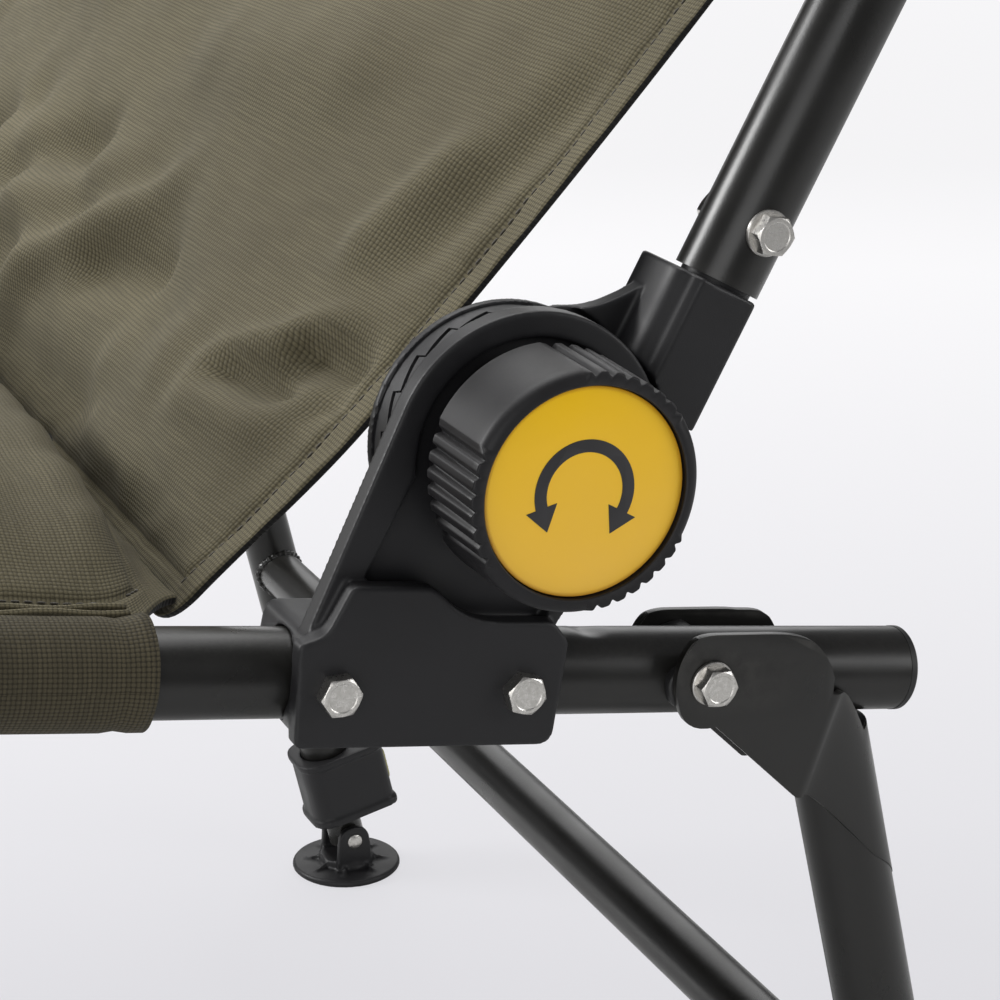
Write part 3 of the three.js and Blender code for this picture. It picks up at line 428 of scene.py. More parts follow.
# Coatings: color, rubbed color, lowest and highest roughness, grain size, grain height, dust
COATINGS = {
    "powder_coat": ((0.0075, 0.0072, 0.0064), (0.05, 0.048, 0.044), 0.27, 0.36, 0.0007, 0.00005, 0.06),
    "glass_filled_nylon": ((0.008, 0.0078, 0.009), (0.04, 0.04, 0.042), 0.44, 0.54, 0.00045, 0.00006, 0.03),
    "satin_knob": ((0.0085, 0.0082, 0.0092), (0.07, 0.068, 0.07), 0.42, 0.50, 0.0005, 0.00004, 0.05),
    "black_nylon": ((0.0085, 0.0085, 0.009), (0.03, 0.03, 0.03), 0.42, 0.55, 0.0006, 0.00005, 0.06),
    "olive_button": ((0.24, 0.225, 0.045), (0.36, 0.34, 0.12), 0.42, 0.5, 0.0005, 0.00005, 0.04),
    "charcoal_print": ((0.022, 0.021, 0.023), (0.03, 0.03, 0.03), 0.45, 0.5, 0.0004, 0.00002, 0.0),
}
GRAIN_SIZE = 0.0004
PATCH_SCALE_SHARE = 0.02
PATCH_TONE_SHARE = 1.22
WEAR_SIZE = 0.006
DUST_SIZE = 0.0015
DUST_COLOR = (0.24, 0.225, 0.2)
# Painted light: the disc's yellow low down and high up
BADGE_PAINTED_LIGHT_LOW_YELLOW = (0.89, 0.53, 0.065)
BADGE_PAINTED_LIGHT_HIGH_YELLOW = (0.92, 0.55, 0.008)
# Painted shade: the orange at the disc's very edge under the knob's rim, and where it starts
BADGE_RIM_SHADE_COLOR = (0.48, 0.17, 0.010)
BADGE_RIM_SHADE_SHARE = 0.955
BADGE_CLOUD_SIZE = 0.02
BADGE_GRAIN_SIZE = 0.0006
BADGE_GRAIN_HEIGHT = 0.00003
STEEL_BRIGHT_COLOR = (0.66, 0.645, 0.62)
STEEL_DULL_COLOR = (0.50, 0.485, 0.455)
STEEL_SPOT_SIZE = 0.0012
STEEL_LINE_SIZE = 0.0018
STEEL_LINE_DEPTH = 0.00008

# Cloths: pale threads, dark threads, gaps between threads, sheen
CLOTHS = {
    "khaki_oxford": ((0.152, 0.133, 0.080), (0.096, 0.083, 0.049), (0.052, 0.045, 0.027), 0.05),
    # The sleeves' cloth: the mat's khaki cloth painted darker and with less sheen, painted shade where the sleeves
    # turn from the light
    "khaki_sleeve_painted_shade": ((0.082, 0.070, 0.042), (0.050, 0.043, 0.026), (0.022, 0.019, 0.012), 0.03),
    "black_backing": ((0.020, 0.019, 0.018), (0.012, 0.012, 0.011), (0.006, 0.006, 0.006), 0.1),
}
WEAVE_PITCH = 0.0013
WEAVE_DEPTH = 0.00035
WEAVE_WANDER_SCALE = 60.0
WEAVE_WANDER_SHARE = 0.7
SLUB_SCALES = (40.0, 900.0, 1.0)
CLOTH_CLOUD_SIZE = 0.09
THREAD_DARK_COLOR = (0.030, 0.026, 0.019)
THREAD_PALE_COLOR = (0.075, 0.065, 0.048)
THREAD_TWIST_SIZE = 0.0006
THREAD_TWIST_DEPTH = 0.0001

# Studio: lamps are name, place, target, size, power
FLOOR_SIZE = 14.0
FLOOR_CENTRE = (0.95, -0.11, 0.0)
FLOOR_NEAR = 1.2
FLOOR_FAR = 2.7
# Painted shade: the floor glows this darker colour near the set and fades to white far off
FLOOR_PAINTED_SHADE = (0.750, 0.745, 0.777)
FLOOR_WHITE = (0.965, 0.960, 0.975)
FLOOR_BOUNCE = (0.72, 0.72, 0.72)
FLOOR_SHADOW_SHARE = 0.14
FLOOR_ROUGHNESS = 0.9
ROOM_TONE = (0.20, 0.20, 0.204)
LAMPS = (
    ("top_light", (-0.35, 0.2, 2.0), (0.2, 0.1, 0.45), 1.6, 30.0),
    ("far_light", (-1.6, 0.9, 1.2), (0.2, 0.1, 0.45), 1.5, 11.0),
    ("front_light", (-1.2, -1.6, 1.4), (0.2, 0.1, 0.5), 0.8, 42.0),
    ("key_light", (2.3, -1.3, 0.9), (0.3, 0.15, 0.45), 1.8, 21.0),
    ("rear_light", (1.3, 1.7, 0.9), (0.3, 0.2, 0.42), 0.8, 9.0),
)

# Camera: solved from the reference view
CAMERA_PLACE = (0.9462, -0.1124, 0.6597)
CAMERA_TILT = radians(90 - 18.73)
CAMERA_HEADING = radians(66.06)
CAMERA_LENS = 97.68
CAMERA_SENSOR = 36.0


def rotation(angle, axis="X"):
    return Matrix.Rotation(angle, 4, axis)


def shift(x=0.0, y=0.0, z=0.0):
    return Matrix.Translation((x, y, z))


HUB = JOINT_PLACE["backrest_recline"]
HUB_FRAME = shift(*HUB) @ rotation(-SEAT_TILT)
SEAT = HUB_FRAME @ shift(z=-HUB_HEIGHT)
BACK = shift(*HUB) @ rotation(-SEAT_TILT - BACK_TILT)
LEGS = {end: shift(*JOINT_PLACE[f"{end}_leg_fold"]) @ rotation(LEG_TILT[end] - SEAT_TILT)
        for end, _ in LEG_ENDS}


def place(base, side=0, facing=1):
    """Where a shape goes: on the left or right rail, or in the middle, mirrored where it must be."""
    mirror = Matrix.Diagonal((side or 1, facing, 1, 1))
    return base @ shift(side * HALF_SPAN) @ mirror


# Outlines and solids
def eased(start, corner, end, share):
    """Point on the curve that leaves start toward a corner and ends at end."""
    return start.lerp(corner, share).lerp(corner.lerp(end, share), share)


def rounded(corners, steps=5):
    """Closed outline through corners (a, b, radius)."""
    points = []
    count = len(corners)
    for index, (a, b, radius) in enumerate(corners):
        here = Vector((a, b))
        back = Vector(corners[index - 1][:2]) - here
        ahead = Vector(corners[(index + 1) % count][:2]) - here
        if radius <= 0:
            points.append(here)
            continue
        start = here + back.normalized() * min(radius, back.length / 2)
        end = here + ahead.normalized() * min(radius, ahead.length / 2)
        points += [eased(start, here, end, step / steps) for step in range(steps + 1)]
    return points


def rectangle(left, low, right, high, corner=0.0, steps=4):
    corners = ((left, low), (right, low), (right, high), (left, high))
    return rounded([(*spot, corner) for spot in corners], steps)


def shape(points, faces, merge=True):
    """Mesh with its faces turned out, and points in one place made one."""
    mesh = bpy.data.meshes.new("shape")
    mesh.from_pydata([tuple(point) for point in points], [], faces)
    tidy = bmesh.new()
    tidy.from_mesh(mesh)
    if merge:
        bmesh.ops.remove_doubles(tidy, verts=tidy.verts, dist=SAME_PLACE)
    bmesh.ops.recalc_face_normals(tidy, faces=tidy.faces)
    tidy.to_mesh(mesh)
    tidy.free()
    return mesh


def ring_faces(ring_count, size, looped=False):
    """Faces between neighbouring rings of points, the last ring joined to the first if looped."""
    faces = []
    for row in range(ring_count - (0 if looped else 1)):
        here = row * size
        there = ((row + 1) % ring_count) * size
        for column in range(size):
            ahead = (column + 1) % size
            faces.append((here + column, here + ahead, there + ahead, there + column))
    return faces


def loft(rings, looped=False):
    """Skin through closed rings of points, capped at its ends or joined end to start."""
    points = [point for ring in rings for point in ring]
    size = len(rings[0])
    faces = ring_faces(len(rings), size, looped)
    if not looped:
        faces.append(tuple(reversed(range(size))))
        faces.append(tuple(range(len(points) - size, len(points))))
    return shape(points, faces)


def plate_x(outline, start, end):
    return loft([[(x, p[0], p[1]) for p in outline] for x in (start, end)])


def block_z(outline, start, end):
    return loft([[(p[0], p[1], z) for p in outline] for z in (start, end)])


def around(steps):
    return [2 * pi * step / steps for step in range(steps)]


def turned_x(profile, y=0.0, z=0.0, steps=WIDE_STEPS):
    """Solid turned about a line along X, from a profile of (x, radius)."""
    return loft([[(x, y + r * cos(a), z + r * sin(a)) for a in around(steps)] for x, r in profile])


def turned_z(profile, y=0.0, steps=UPRIGHT_STEPS):
    """Solid turned about a line along Z, from a profile of (z, radius)."""
    return loft([[(r * cos(a), y + r * sin(a), z) for a in around(steps)] for z, r in profile])


def rod_x(start, end, radius, z=0.0, steps=WIDE_STEPS):
    return turned_x([(start, radius), (end, radius)], 0.0, z, steps)


def rod_z(start, end, radius, y=0.0):
    return turned_z([(start, radius), (end, radius)], y)


def joined(meshes):
    whole = bmesh.new()
    for mesh in meshes:
        whole.from_mesh(mesh)
    result = bpy.data.meshes.new("joined")
    whole.to_mesh(result)
    whole.free()
    return result


def moved(mesh, matrix):
    copy = mesh.copy()
    copy.transform(matrix)
    if matrix.determinant() < 0:
        copy.flip_normals()
    return copy


def holder(mesh):
    thing = bpy.data.objects.new("holder", mesh)
    bpy.context.scene.collection.objects.link(thing)
    return thing


def baked(thing):
    """The mesh that a holder shows with its modifiers; the holder goes."""
    graph = bpy.context.evaluated_depsgraph_get()
    result = bpy.data.meshes.new_from_object(thing.evaluated_get(graph))
    bpy.data.objects.remove(thing)
    return result


def modified(mesh, *steps):
    """The mesh after a stack of modifiers, each (kind, settings)."""
    thing = holder(mesh)
    for kind, settings in steps:
        modifier = thing.modifiers.new(kind.lower(), kind)
        for name, value in settings.items():
            setattr(modifier, name, value)
    return baked(thing)


def bevelled(mesh, width, segments=BEVEL_SEGMENTS, **settings):
    values = {"width": width, "segments": segments, "limit_method": "ANGLE", **settings}
    return modified(mesh, ("BEVEL", values))


def cut(mesh, *tools):
    helpers = [holder(tool) for tool in tools]
    less = {"operation": "DIFFERENCE", "solver": "EXACT"}
    result = modified(mesh, *[("BOOLEAN", {**less, "object": helper}) for helper in helpers])
    for helper in helpers:
        bpy.data.objects.remove(helper)
    return result


def moulding(meshes, voxel, keep_share=0.5):
    """One moulded skin round several overlapping solids, with softened edges."""
    return modified(
        joined(meshes),
        ("REMESH", {"mode": "VOXEL", "voxel_size": voxel, "use_smooth_shade": True}),
        ("SMOOTH", {"factor": 0.5, "iterations": 3}),
        ("DECIMATE", {"ratio": keep_share}),
    )


def fit(name, mesh, material, slot, nodes, body=None, sharp=PLAIN_SHARP):
    """Places a finished mesh as a piece of its body, standing for its nodes."""
    mesh.name = name
    if not mesh.materials:
        mesh.materials.append(material)
    mesh.shade_smooth()
    if sharp:
        mesh.set_sharp_from_angle(angle=sharp)
    piece = bpy.data.objects.new(name, mesh)
    bpy.context.scene.collection.objects.link(piece)
    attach(piece, body or BODY_OF[nodes[0]])
    if nodes:
        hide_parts(*nodes)
    return piece


def fit_pair(label, mesh, base, material, slot, node, **settings):
    """The same piece on the left and, mirrored, on the right."""
    for name, side in SIDES:
        piece = moved(mesh, place(base, side))
        fit(f"{label}_{name}", piece, material, slot, [f"{node}_{name}"], **settings)


# Shader helpers
def add_node(tree, kind, values=(), **settings):
    made = tree.nodes.new(kind)
    for name, value in settings.items():
        setattr(made, name, value)
    for key, value in dict(values).items():
        if hasattr(value, "is_output"):
            tree.links.new(value, made.inputs[key])
        else:
            made.inputs[key].default_value = value
    return made


def noise_at(tree, spot, scale, detail, roughness=0.5):
    values = {"Vector": spot, "Scale": scale, "Detail": detail, "Roughness": roughness}
    return add_node(tree, "ShaderNodeTexNoise", values).outputs["Fac"]


def math(tree, operation, first, second=0.0, third=0.0, clamp=False):
    values = {0: first, 1: second, 2: third}
    return add_node(tree, "ShaderNodeMath", values, operation=operation, use_clamp=clamp).outputs[0]


def blur(tree, spot, size, detail=3.0, roughness=0.5):
    """Noise whose features are about size metres across."""
    return noise_at(tree, spot, 1 / size, detail, roughness)


def ramp(tree, value, start, end, low=0.0, high=1.0):
    values = {"Value": value, "From Min": start, "From Max": end, "To Min": low, "To Max": high}
    return add_node(tree, "ShaderNodeMapRange", values).outputs["Result"]


def blend_color(tree, share, first, second):
    return add_node(tree, "ShaderNodeMix", {0: share, 6: first, 7: second}, data_type="RGBA").outputs[2]


def new_group(name, inputs, outputs):
    group = bpy.data.node_groups.new(name, "ShaderNodeTree")
    for socket, kind, default in inputs:
        made = group.interface.new_socket(name=socket, in_out="INPUT", socket_type=kind)
        if default is not None:
            made.default_value = default
    for socket, kind in outputs:
        group.interface.new_socket(name=socket, in_out="OUTPUT", socket_type=kind)
    return group, group.nodes.new("NodeGroupInput").outputs, group.nodes.new("NodeGroupOutput").inputs


def use_group(tree, group, values):
    return add_node(tree, "ShaderNodeGroup", values, node_tree=group).outputs


def make_grain():
    """Fine moulded or sprayed texture, with a broad mask of uneven gloss."""
    group, given, out = new_group(
        "surface_grain",
        [("Place", "NodeSocketVector", None), ("Size", "NodeSocketFloat", GRAIN_SIZE)],
        [("Height", "NodeSocketFloat"), ("Patches", "NodeSocketFloat")])
    scale = math(group, "DIVIDE", 1.0, given["Size"])
    broad_scale = math(group, "MULTIPLY", scale, PATCH_SCALE_SHARE)
    patches = noise_at(group, given["Place"], broad_scale, 4.0)
    group.links.new(noise_at(group, given["Place"], scale, 2.0), out["Height"])
    group.links.new(ramp(group, patches, 0.35, 0.65), out["Patches"])
    return group


def make_edge_wear():
    """Convex edges, broken up, where handling has rubbed the surface."""
    group, given, out = new_group(
        "edge_wear",
        [("Place", "NodeSocketVector", None), ("Start", "NodeSocketFloat", 0.53),
         ("End", "NodeSocketFloat", 0.6)],
        [("Mask", "NodeSocketFloat")])
    edge = add_node(group, "ShaderNodeNewGeometry").outputs["Pointiness"]
    mask = ramp(group, edge, given["Start"], given["End"])
    broken = ramp(group, blur(group, given["Place"], WEAR_SIZE, 5.0, 0.7), 0.35, 0.6, 0.25, 1.0)
    group.links.new(math(group, "MULTIPLY", mask, broken, clamp=True), out["Mask"])
    return group


def make_dust():
    """A little settled dust on faces that look up."""
    group, given, out = new_group(
        "settled_dust",
        [("Place", "NodeSocketVector", None), ("Amount", "NodeSocketFloat", 0.1)],
        [("Mask", "NodeSocketFloat")])
    normal = add_node(group, "ShaderNodeNewGeometry").outputs["Normal"]
    up = add_node(group, "ShaderNodeSeparateXYZ", {0: normal}).outputs["Z"]
    specks = ramp(group, blur(group, given["Place"], DUST_SIZE, 6.0, 0.75), 0.4, 0.75)
    mask = math(group, "MULTIPLY", ramp(group, up, 0.3, 1.0), specks)
    group.links.new(math(group, "MULTIPLY", mask, given["Amount"]), out["Mask"])
    return group


def make_weave():
    """Plain weave of round threads on a flat (u, v) place in metres."""
    group, given, out = new_group(
        "plain_weave",
        [("Place", "NodeSocketVector", None), ("Pitch", "NodeSocketFloat", WEAVE_PITCH)],
        [("Height", "NodeSocketFloat"), ("Tone", "NodeSocketFloat")])
    noise_part = noise_at(group, given["Place"], WEAVE_WANDER_SCALE, 2.0)
    wander = math(group, "MULTIPLY", math(group, "SUBTRACT", noise_part, 0.5), WEAVE_WANDER_SHARE)
    parts = add_node(group, "ShaderNodeSeparateXYZ", {0: given["Place"]})
    across, along = [math(group, "ADD", math(group, "DIVIDE", parts.outputs[axis], given["Pitch"]), wander)
                     for axis in "XY"]

    def thread(width_place, length_place):
        number = math(group, "FLOOR", width_place)
        round_part = math(group, "SINE", math(group, "MULTIPLY", math(group, "FRACT", width_place), pi))
        phase = math(group, "MULTIPLY", math(group, "ADD", length_place, number), pi)
        wave = math(group, "MULTIPLY_ADD", math(group, "SINE", phase), 0.5, 0.5)
        return math(group, "MULTIPLY", math(group, "POWER", round_part, 0.6), wave)

    warp_thread = thread(across, along)
    weft_thread = thread(along, math(group, "ADD", across, 1.0))
    group.links.new(math(group, "MAXIMUM", warp_thread, weft_thread), out["Height"])
    group.links.new(ramp(group, warp_thread, 0.2, 0.9), out["Tone"])
    return group


GRAIN = make_grain()
EDGE_WEAR = make_edge_wear()
DUST = make_dust()
WEAVE = make_weave()


def new_finish(name, roughness, metallic=0.0, specular=0.5, sheen=0.0):
    material = bpy.data.materials.new(name)
    material.use_nodes = True
    tree = material.node_tree
    shader = tree.nodes["Principled BSDF"]
    values = {"Roughness": roughness, "Metallic": metallic, "Specular IOR Level": specular,
              "Sheen Weight": sheen}
    for socket, value in values.items():
        shader.inputs[socket].default_value = value
    return material, tree, shader


def object_place(tree):
    return add_node(tree, "ShaderNodeTexCoord").outputs["Object"]


def bump(tree, shader, height, strength, distance):
    made = add_node(tree, "ShaderNodeBump", {"Height": height, "Strength": strength, "Distance": distance})
    tree.links.new(made.outputs["Normal"], shader.inputs["Normal"])


def coated_finish(name, wear=0.5, **extra):
    """Plastic or powder coat: grain, uneven gloss, rubbed edges and a trace of dust."""
    color, worn, rough_low, rough_high, grain_size, grain_height, dust = COATINGS[name]
    material, tree, shader = new_finish(name, rough_low, **extra)
    where = object_place(tree)
    grain = use_group(tree, GRAIN, {"Place": where, "Size": grain_size})
    edge = use_group(tree, EDGE_WEAR, {"Place": where})
    film = use_group(tree, DUST, {"Place": where, "Amount": dust})
    paler = [part * PATCH_TONE_SHARE for part in color]
    base = blend_color(tree, grain["Patches"], (*color, 1), (*paler, 1))
    rubbed = blend_color(tree, math(tree, "MULTIPLY", edge["Mask"], wear), base, (*worn, 1))
    tree.links.new(blend_color(tree, film["Mask"], rubbed, (*DUST_COLOR, 1)), shader.inputs["Base Color"])
    gloss = ramp(tree, grain["Patches"], 0.0, 1.0, rough_low, rough_high)
    dulled = math(tree, "ADD", gloss, math(tree, "MULTIPLY", film["Mask"], 0.5), clamp=True)
    tree.links.new(dulled, shader.inputs["Roughness"])
    bump(tree, shader, grain["Height"], 0.35, grain_height)
    return material


def badge_finish():
    """Glossy yellow, with painted light that makes it paler low down and painted shade that turns it orange at its
    very edge, under the knob's rim.
    """
    material, tree, shader = new_finish("yellow_disc", 0.34, specular=0.35)
    where = object_place(tree)
    height = add_node(tree, "ShaderNodeSeparateXYZ", {0: where}).outputs["Z"]
    # Painted light: the yellow changes with height, with random clouds mixed in
    share = ramp(tree, height, HUB[2] - BADGE_RADIUS, HUB[2] + BADGE_RADIUS)
    cloud = blur(tree, where, BADGE_CLOUD_SIZE, 4.0)
    mixed = math(tree, "MULTIPLY_ADD", cloud, 0.35, math(tree, "SUBTRACT", share, 0.17), clamp=True)
    face = blend_color(tree, mixed, (*BADGE_PAINTED_LIGHT_LOW_YELLOW, 1), (*BADGE_PAINTED_LIGHT_HIGH_YELLOW, 1))
    flat = add_node(tree, "ShaderNodeVectorMath", {0: where, 1: (0.0, 1.0, 1.0)}, operation="MULTIPLY")
    middle = (0.0, HUB[1], HUB[2])
    out = add_node(tree, "ShaderNodeVectorMath", {0: flat.outputs[0], 1: middle}, operation="DISTANCE")
    # Painted shade: orange round the disc's very edge, where the knob's rim shades it
    edge = ramp(tree, out.outputs["Value"], BADGE_RADIUS * BADGE_RIM_SHADE_SHARE, BADGE_RADIUS, 0.0, 0.75)
    tree.links.new(blend_color(tree, edge, face, (*BADGE_RIM_SHADE_COLOR, 1)), shader.inputs["Base Color"])
    grain = use_group(tree, GRAIN, {"Place": where, "Size": BADGE_GRAIN_SIZE})
    tree.links.new(ramp(tree, grain["Patches"], 0.0, 1.0, 0.3, 0.4), shader.inputs["Roughness"])
    bump(tree, shader, grain["Height"], 0.1, BADGE_GRAIN_HEIGHT)
    return material


def steel_finish():
    """Stainless steel with dull spots and fine turning lines."""
    material, tree, shader = new_finish("stainless_steel", 0.3, metallic=1.0)
    where = object_place(tree)
    spots = ramp(tree, blur(tree, where, STEEL_SPOT_SIZE, 8.0, 0.7), 0.35, 0.7)
    stretch = add_node(tree, "ShaderNodeMapping", {"Vector": where, "Scale": (1.0, 1.0, 14.0)}).outputs[0]
    lines = blur(tree, stretch, STEEL_LINE_SIZE, 5.0, 0.8)
    color = blend_color(tree, spots, (*STEEL_BRIGHT_COLOR, 1), (*STEEL_DULL_COLOR, 1))
    tree.links.new(color, shader.inputs["Base Color"])
    mixed = math(tree, "MULTIPLY_ADD", spots, 0.4, math(tree, "MULTIPLY", lines, 0.6))
    tree.links.new(ramp(tree, mixed, 0.2, 0.8, 0.2, 0.46), shader.inputs["Roughness"])
    bump(tree, shader, mixed, 0.25, STEEL_LINE_DEPTH)
    return material


def cloth_finish(name):
    """Coarse woven cloth, patterned on its own flat places."""
    light, dark, gap, sheen = CLOTHS[name]
    material, tree, shader = new_finish(name, 0.85, specular=0.25, sheen=sheen)
    shader.inputs["Sheen Roughness"].default_value = 0.5
    flat = add_node(tree, "ShaderNodeUVMap", uv_map="cloth").outputs["UV"]
    weave = use_group(tree, WEAVE, {"Place": flat, "Pitch": WEAVE_PITCH})
    stripes = add_node(tree, "ShaderNodeMapping", {"Vector": flat, "Scale": SLUB_SCALES}).outputs[0]
    slubs = noise_at(tree, stripes, 1.0, 3.0)
    cloud = blur(tree, object_place(tree), CLOTH_CLOUD_SIZE, 5.0, 0.6)
    shade = math(tree, "ADD", math(tree, "MULTIPLY", slubs, 0.45), math(tree, "MULTIPLY", cloud, 0.55))
    base = blend_color(tree, ramp(tree, shade, 0.36, 0.66), (*dark, 1), (*light, 1))
    threads = blend_color(tree, ramp(tree, weave["Height"], 0.25, 0.75), (*gap, 1), base)
    tree.links.new(threads, shader.inputs["Base Color"])
    tree.links.new(ramp(tree, weave["Tone"], 0.0, 1.0, 0.92, 0.74), shader.inputs["Roughness"])
    bump(tree, shader, weave["Height"], 0.7, WEAVE_DEPTH)
    return material


def thread_finish():
    """Twisted sewing thread."""
    material, tree, shader = new_finish("sewing_thread", 0.7, sheen=0.3)
    twist = blur(tree, object_place(tree), THREAD_TWIST_SIZE, 3.0)
    color = blend_color(tree, twist, (*THREAD_DARK_COLOR, 1), (*THREAD_PALE_COLOR, 1))
    tree.links.new(color, shader.inputs["Base Color"])
    bump(tree, shader, twist, 0.4, THREAD_TWIST_DEPTH)
    return material


TUBE_FINISH = coated_finish("powder_coat", specular=0.5)
MOULDED_FINISH = coated_finish("glass_filled_nylon", specular=0.4)
KNOB_FINISH = coated_finish("satin_knob", wear=0.8, specular=0.3)
NYLON_FINISH = coated_finish("black_nylon")
BUTTON_FINISH = coated_finish("olive_button")
MARK_FINISH = coated_finish("charcoal_print", wear=0.0)
BADGE_FINISH = badge_finish()
STEEL_FINISH = steel_finish()
CLOTH_FINISH = cloth_finish("khaki_oxford")
# Painted shade: the sleeves wear a darker copy of the mat's cloth
SHADED_SLEEVE_FINISH = cloth_finish("khaki_sleeve_painted_shade")
BACKING_FINISH = cloth_finish("black_backing")
MAT_FINISHES = (CLOTH_FINISH, BACKING_FINISH, SHADED_SLEEVE_FINISH)
THREAD_FINISH = thread_finish()


# Geometry trees
def new_geometry_tree(name, inputs):
    tree = bpy.data.node_groups.new(name, "GeometryNodeTree")
    tree.interface.new_socket(name="Geometry", in_out="INPUT", socket_type="NodeSocketGeometry")
    sockets = {}
    for socket, kind in inputs:
        made = tree.interface.new_socket(name=socket, in_out="INPUT", socket_type=kind)
        sockets[socket] = made.identifier
    tree.interface.new_socket(name="Geometry", in_out="OUTPUT", socket_type="NodeSocketGeometry")
    given = tree.nodes.new("NodeGroupInput").outputs
    return tree, sockets, given


def end_tree(tree, geometry, material):
    real = add_node(tree, "GeometryNodeRealizeInstances", {"Geometry": geometry}).outputs[0]
    painted = add_node(tree, "GeometryNodeSetMaterial", {"Geometry": real, "Material": material}).outputs[0]
    out = tree.nodes.new("NodeGroupOutput")
    tree.links.new(painted, out.inputs[0])


def make_tube_tree():
    """Bends a straight-sided route and skins it as a round tube."""
    tree, sockets, given = new_geometry_tree("bent_tube", [
        ("Tube Radius", "NodeSocketFloat"), ("Bend Radius", "NodeSocketFloat"), ("Step", "NodeSocketFloat"),
        ("Finish", "NodeSocketMaterial")])
    route = add_node(tree, "GeometryNodeMeshToCurve", {"Mesh": given["Geometry"]}).outputs[0]
    values = {"Curve": route, "Radius": given["Bend Radius"], "Count": BEND_STEPS, "Limit Radius": True}
    bent = add_node(tree, "GeometryNodeFilletCurve", values, mode="POLY")
    values = {"Curve": bent.outputs[0], "Length": given["Step"]}
    stepped = add_node(tree, "GeometryNodeResampleCurve", values, mode="LENGTH")
    values = {"Resolution": TUBE_SIDES, "Radius": given["Tube Radius"]}
    ring = add_node(tree, "GeometryNodeCurvePrimitiveCircle", values)
    values = {"Curve": stepped.outputs[0], "Profile Curve": ring.outputs[0], "Fill Caps": True}
    skin = add_node(tree, "GeometryNodeCurveToMesh", values)
    end_tree(tree, skin.outputs[0], given["Finish"])
    return tree, sockets


def make_set_tree():
    """Sets a fastener at every point, turned as the point says."""
    tree, sockets, given = new_geometry_tree("set_fasteners", [
        ("Fastener", "NodeSocketObject"), ("Finish", "NodeSocketMaterial")])
    source = add_node(tree, "GeometryNodeObjectInfo", {"Object": given["Fastener"]})
    turn = add_node(tree, "GeometryNodeInputNamedAttribute", {"Name": "turn"}, data_type="FLOAT_VECTOR")
    facing = add_node(tree, "FunctionNodeEulerToRotation", {0: turn.outputs[0]})
    placed = add_node(tree, "GeometryNodeInstanceOnPoints", {
        "Points": given["Geometry"], "Instance": source.outputs["Geometry"], "Rotation": facing.outputs[0]})
    end_tree(tree, placed.outputs[0], given["Finish"])
    return tree, sockets


def make_stitch_tree():
    """Sews a row of short stitches along a route."""
    tree, sockets, given = new_geometry_tree("sew_stitches", [
        ("Pitch", "NodeSocketFloat"), ("Length", "NodeSocketFloat"), ("Thread Radius", "NodeSocketFloat"),
        ("Finish", "NodeSocketMaterial")])
    route = add_node(tree, "GeometryNodeMeshToCurve", {"Mesh": given["Geometry"]}).outputs[0]
    spaced = {"Curve": route, "Length": given["Pitch"]}
    points = add_node(tree, "GeometryNodeCurveToPoints", spaced, mode="LENGTH")
    body = add_node(tree, "GeometryNodeMeshUVSphere", {"Segments": 6, "Rings": 5, "Radius": 1.0})
    thread = given["Thread Radius"]
    half = math(tree, "MULTIPLY", given["Length"], 0.5)
    size = add_node(tree, "ShaderNodeCombineXYZ", {0: thread, 1: thread, 2: half})
    placed = add_node(tree, "GeometryNodeInstanceOnPoints", {
        "Points": points.outputs["Points"], "Instance": body.outputs["Mesh"],
        "Rotation": points.outputs["Rotation"], "Scale": size.outputs[0]})
    end_tree(tree, placed.outputs[0], given["Finish"])
    return tree, sockets


TUBE_TREE = make_tube_tree()
SET_TREE = make_set_tree()
STITCH_TREE = make_stitch_tree()


def grown(tree_and_sockets, source, values):
    """Plain mesh that a geometry tree makes of a source mesh, its inputs set by identifier."""
    tree, sockets = tree_and_sockets
    thing = holder(source)
    modifier = thing.modifiers.new("growth", "NODES")
    modifier.node_group = tree
    for name, value in values.items():
        modifier[sockets[name]] = value
    return baked(thing)


def route_mesh(points):
    mesh = bpy.data.meshes.new("route")
    mesh.from_pydata([tuple(p) for p in points], [(i, i + 1) for i in range(len(points) - 1)], [])
    return mesh


def tube(points, radius, bend=0.0, step=TUBE_STEP):
    values = {"Tube Radius": radius, "Bend Radius": bend, "Step": step, "Finish": TUBE_FINISH}
    return grown(TUBE_TREE, route_mesh(points), values)


# Seat frame and backrest frame
def press_dimples(mesh):
    """The rivet dimples on top of the two rails."""
    for vertex in mesh.vertices:
        x, y, z = vertex.co
        if z < 0:
            continue
        away = hypot(abs(x) - HALF_SPAN, y - DIMPLE_PLACE) / DIMPLE_RADIUS
        if away < 1:
            vertex.co.z -= DIMPLE_DEPTH * (1 - away * away) ** 2


def bent_frame(start, end, step=TUBE_STEP):
    """Tube up both sides from start to end, each (y, z), and across at the end."""
    return tube([(-HALF_SPAN, *start), (-HALF_SPAN, *end), (HALF_SPAN, *end), (HALF_SPAN, *start)],
                TUBE_RADIUS, FRAME_BEND, step)


def seat_frame():
    mesh = bent_frame((RAIL_REAR, 0), (-FRONT_BAR, 0), TUBE_STEP / 2)
    press_dimples(mesh)
    fit("seat_frame_tube", moved(mesh, SEAT), TUBE_FINISH, "tube", ["seat_frame"])


def rail_end_caps():
    rim = TUBE_RADIUS + FIT / 3
    face = END_RIM * CAP_FACE_SHARE
    profile = [(END_RIM * out, rim - END_RIM * inset) for out, inset in CAP_PROFILE_SHARES]
    cap = turned_x(profile + [(face, rim / 2), (face, 0.0)])
    cap = moved(cap, shift(y=RAIL_REAR) @ rotation(QUARTER, "Z"))
    fit_pair("rail_end_plug", cap, SEAT, NYLON_FINISH, "nylon", "rail_end_cap")


def backrest_frame():
    mesh = bent_frame((BACK_TUBE_OFFSET, BACK_TUBE_BOTTOM), (BACK_TUBE_OFFSET, BACK_HEIGHT))
    fit("backrest_frame_tube", moved(mesh, BACK), TUBE_FINISH, "tube", ["backrest_frame"])


# Hub mouldings
TOOTH_PITCH = 2 * pi / TOOTH_COUNT


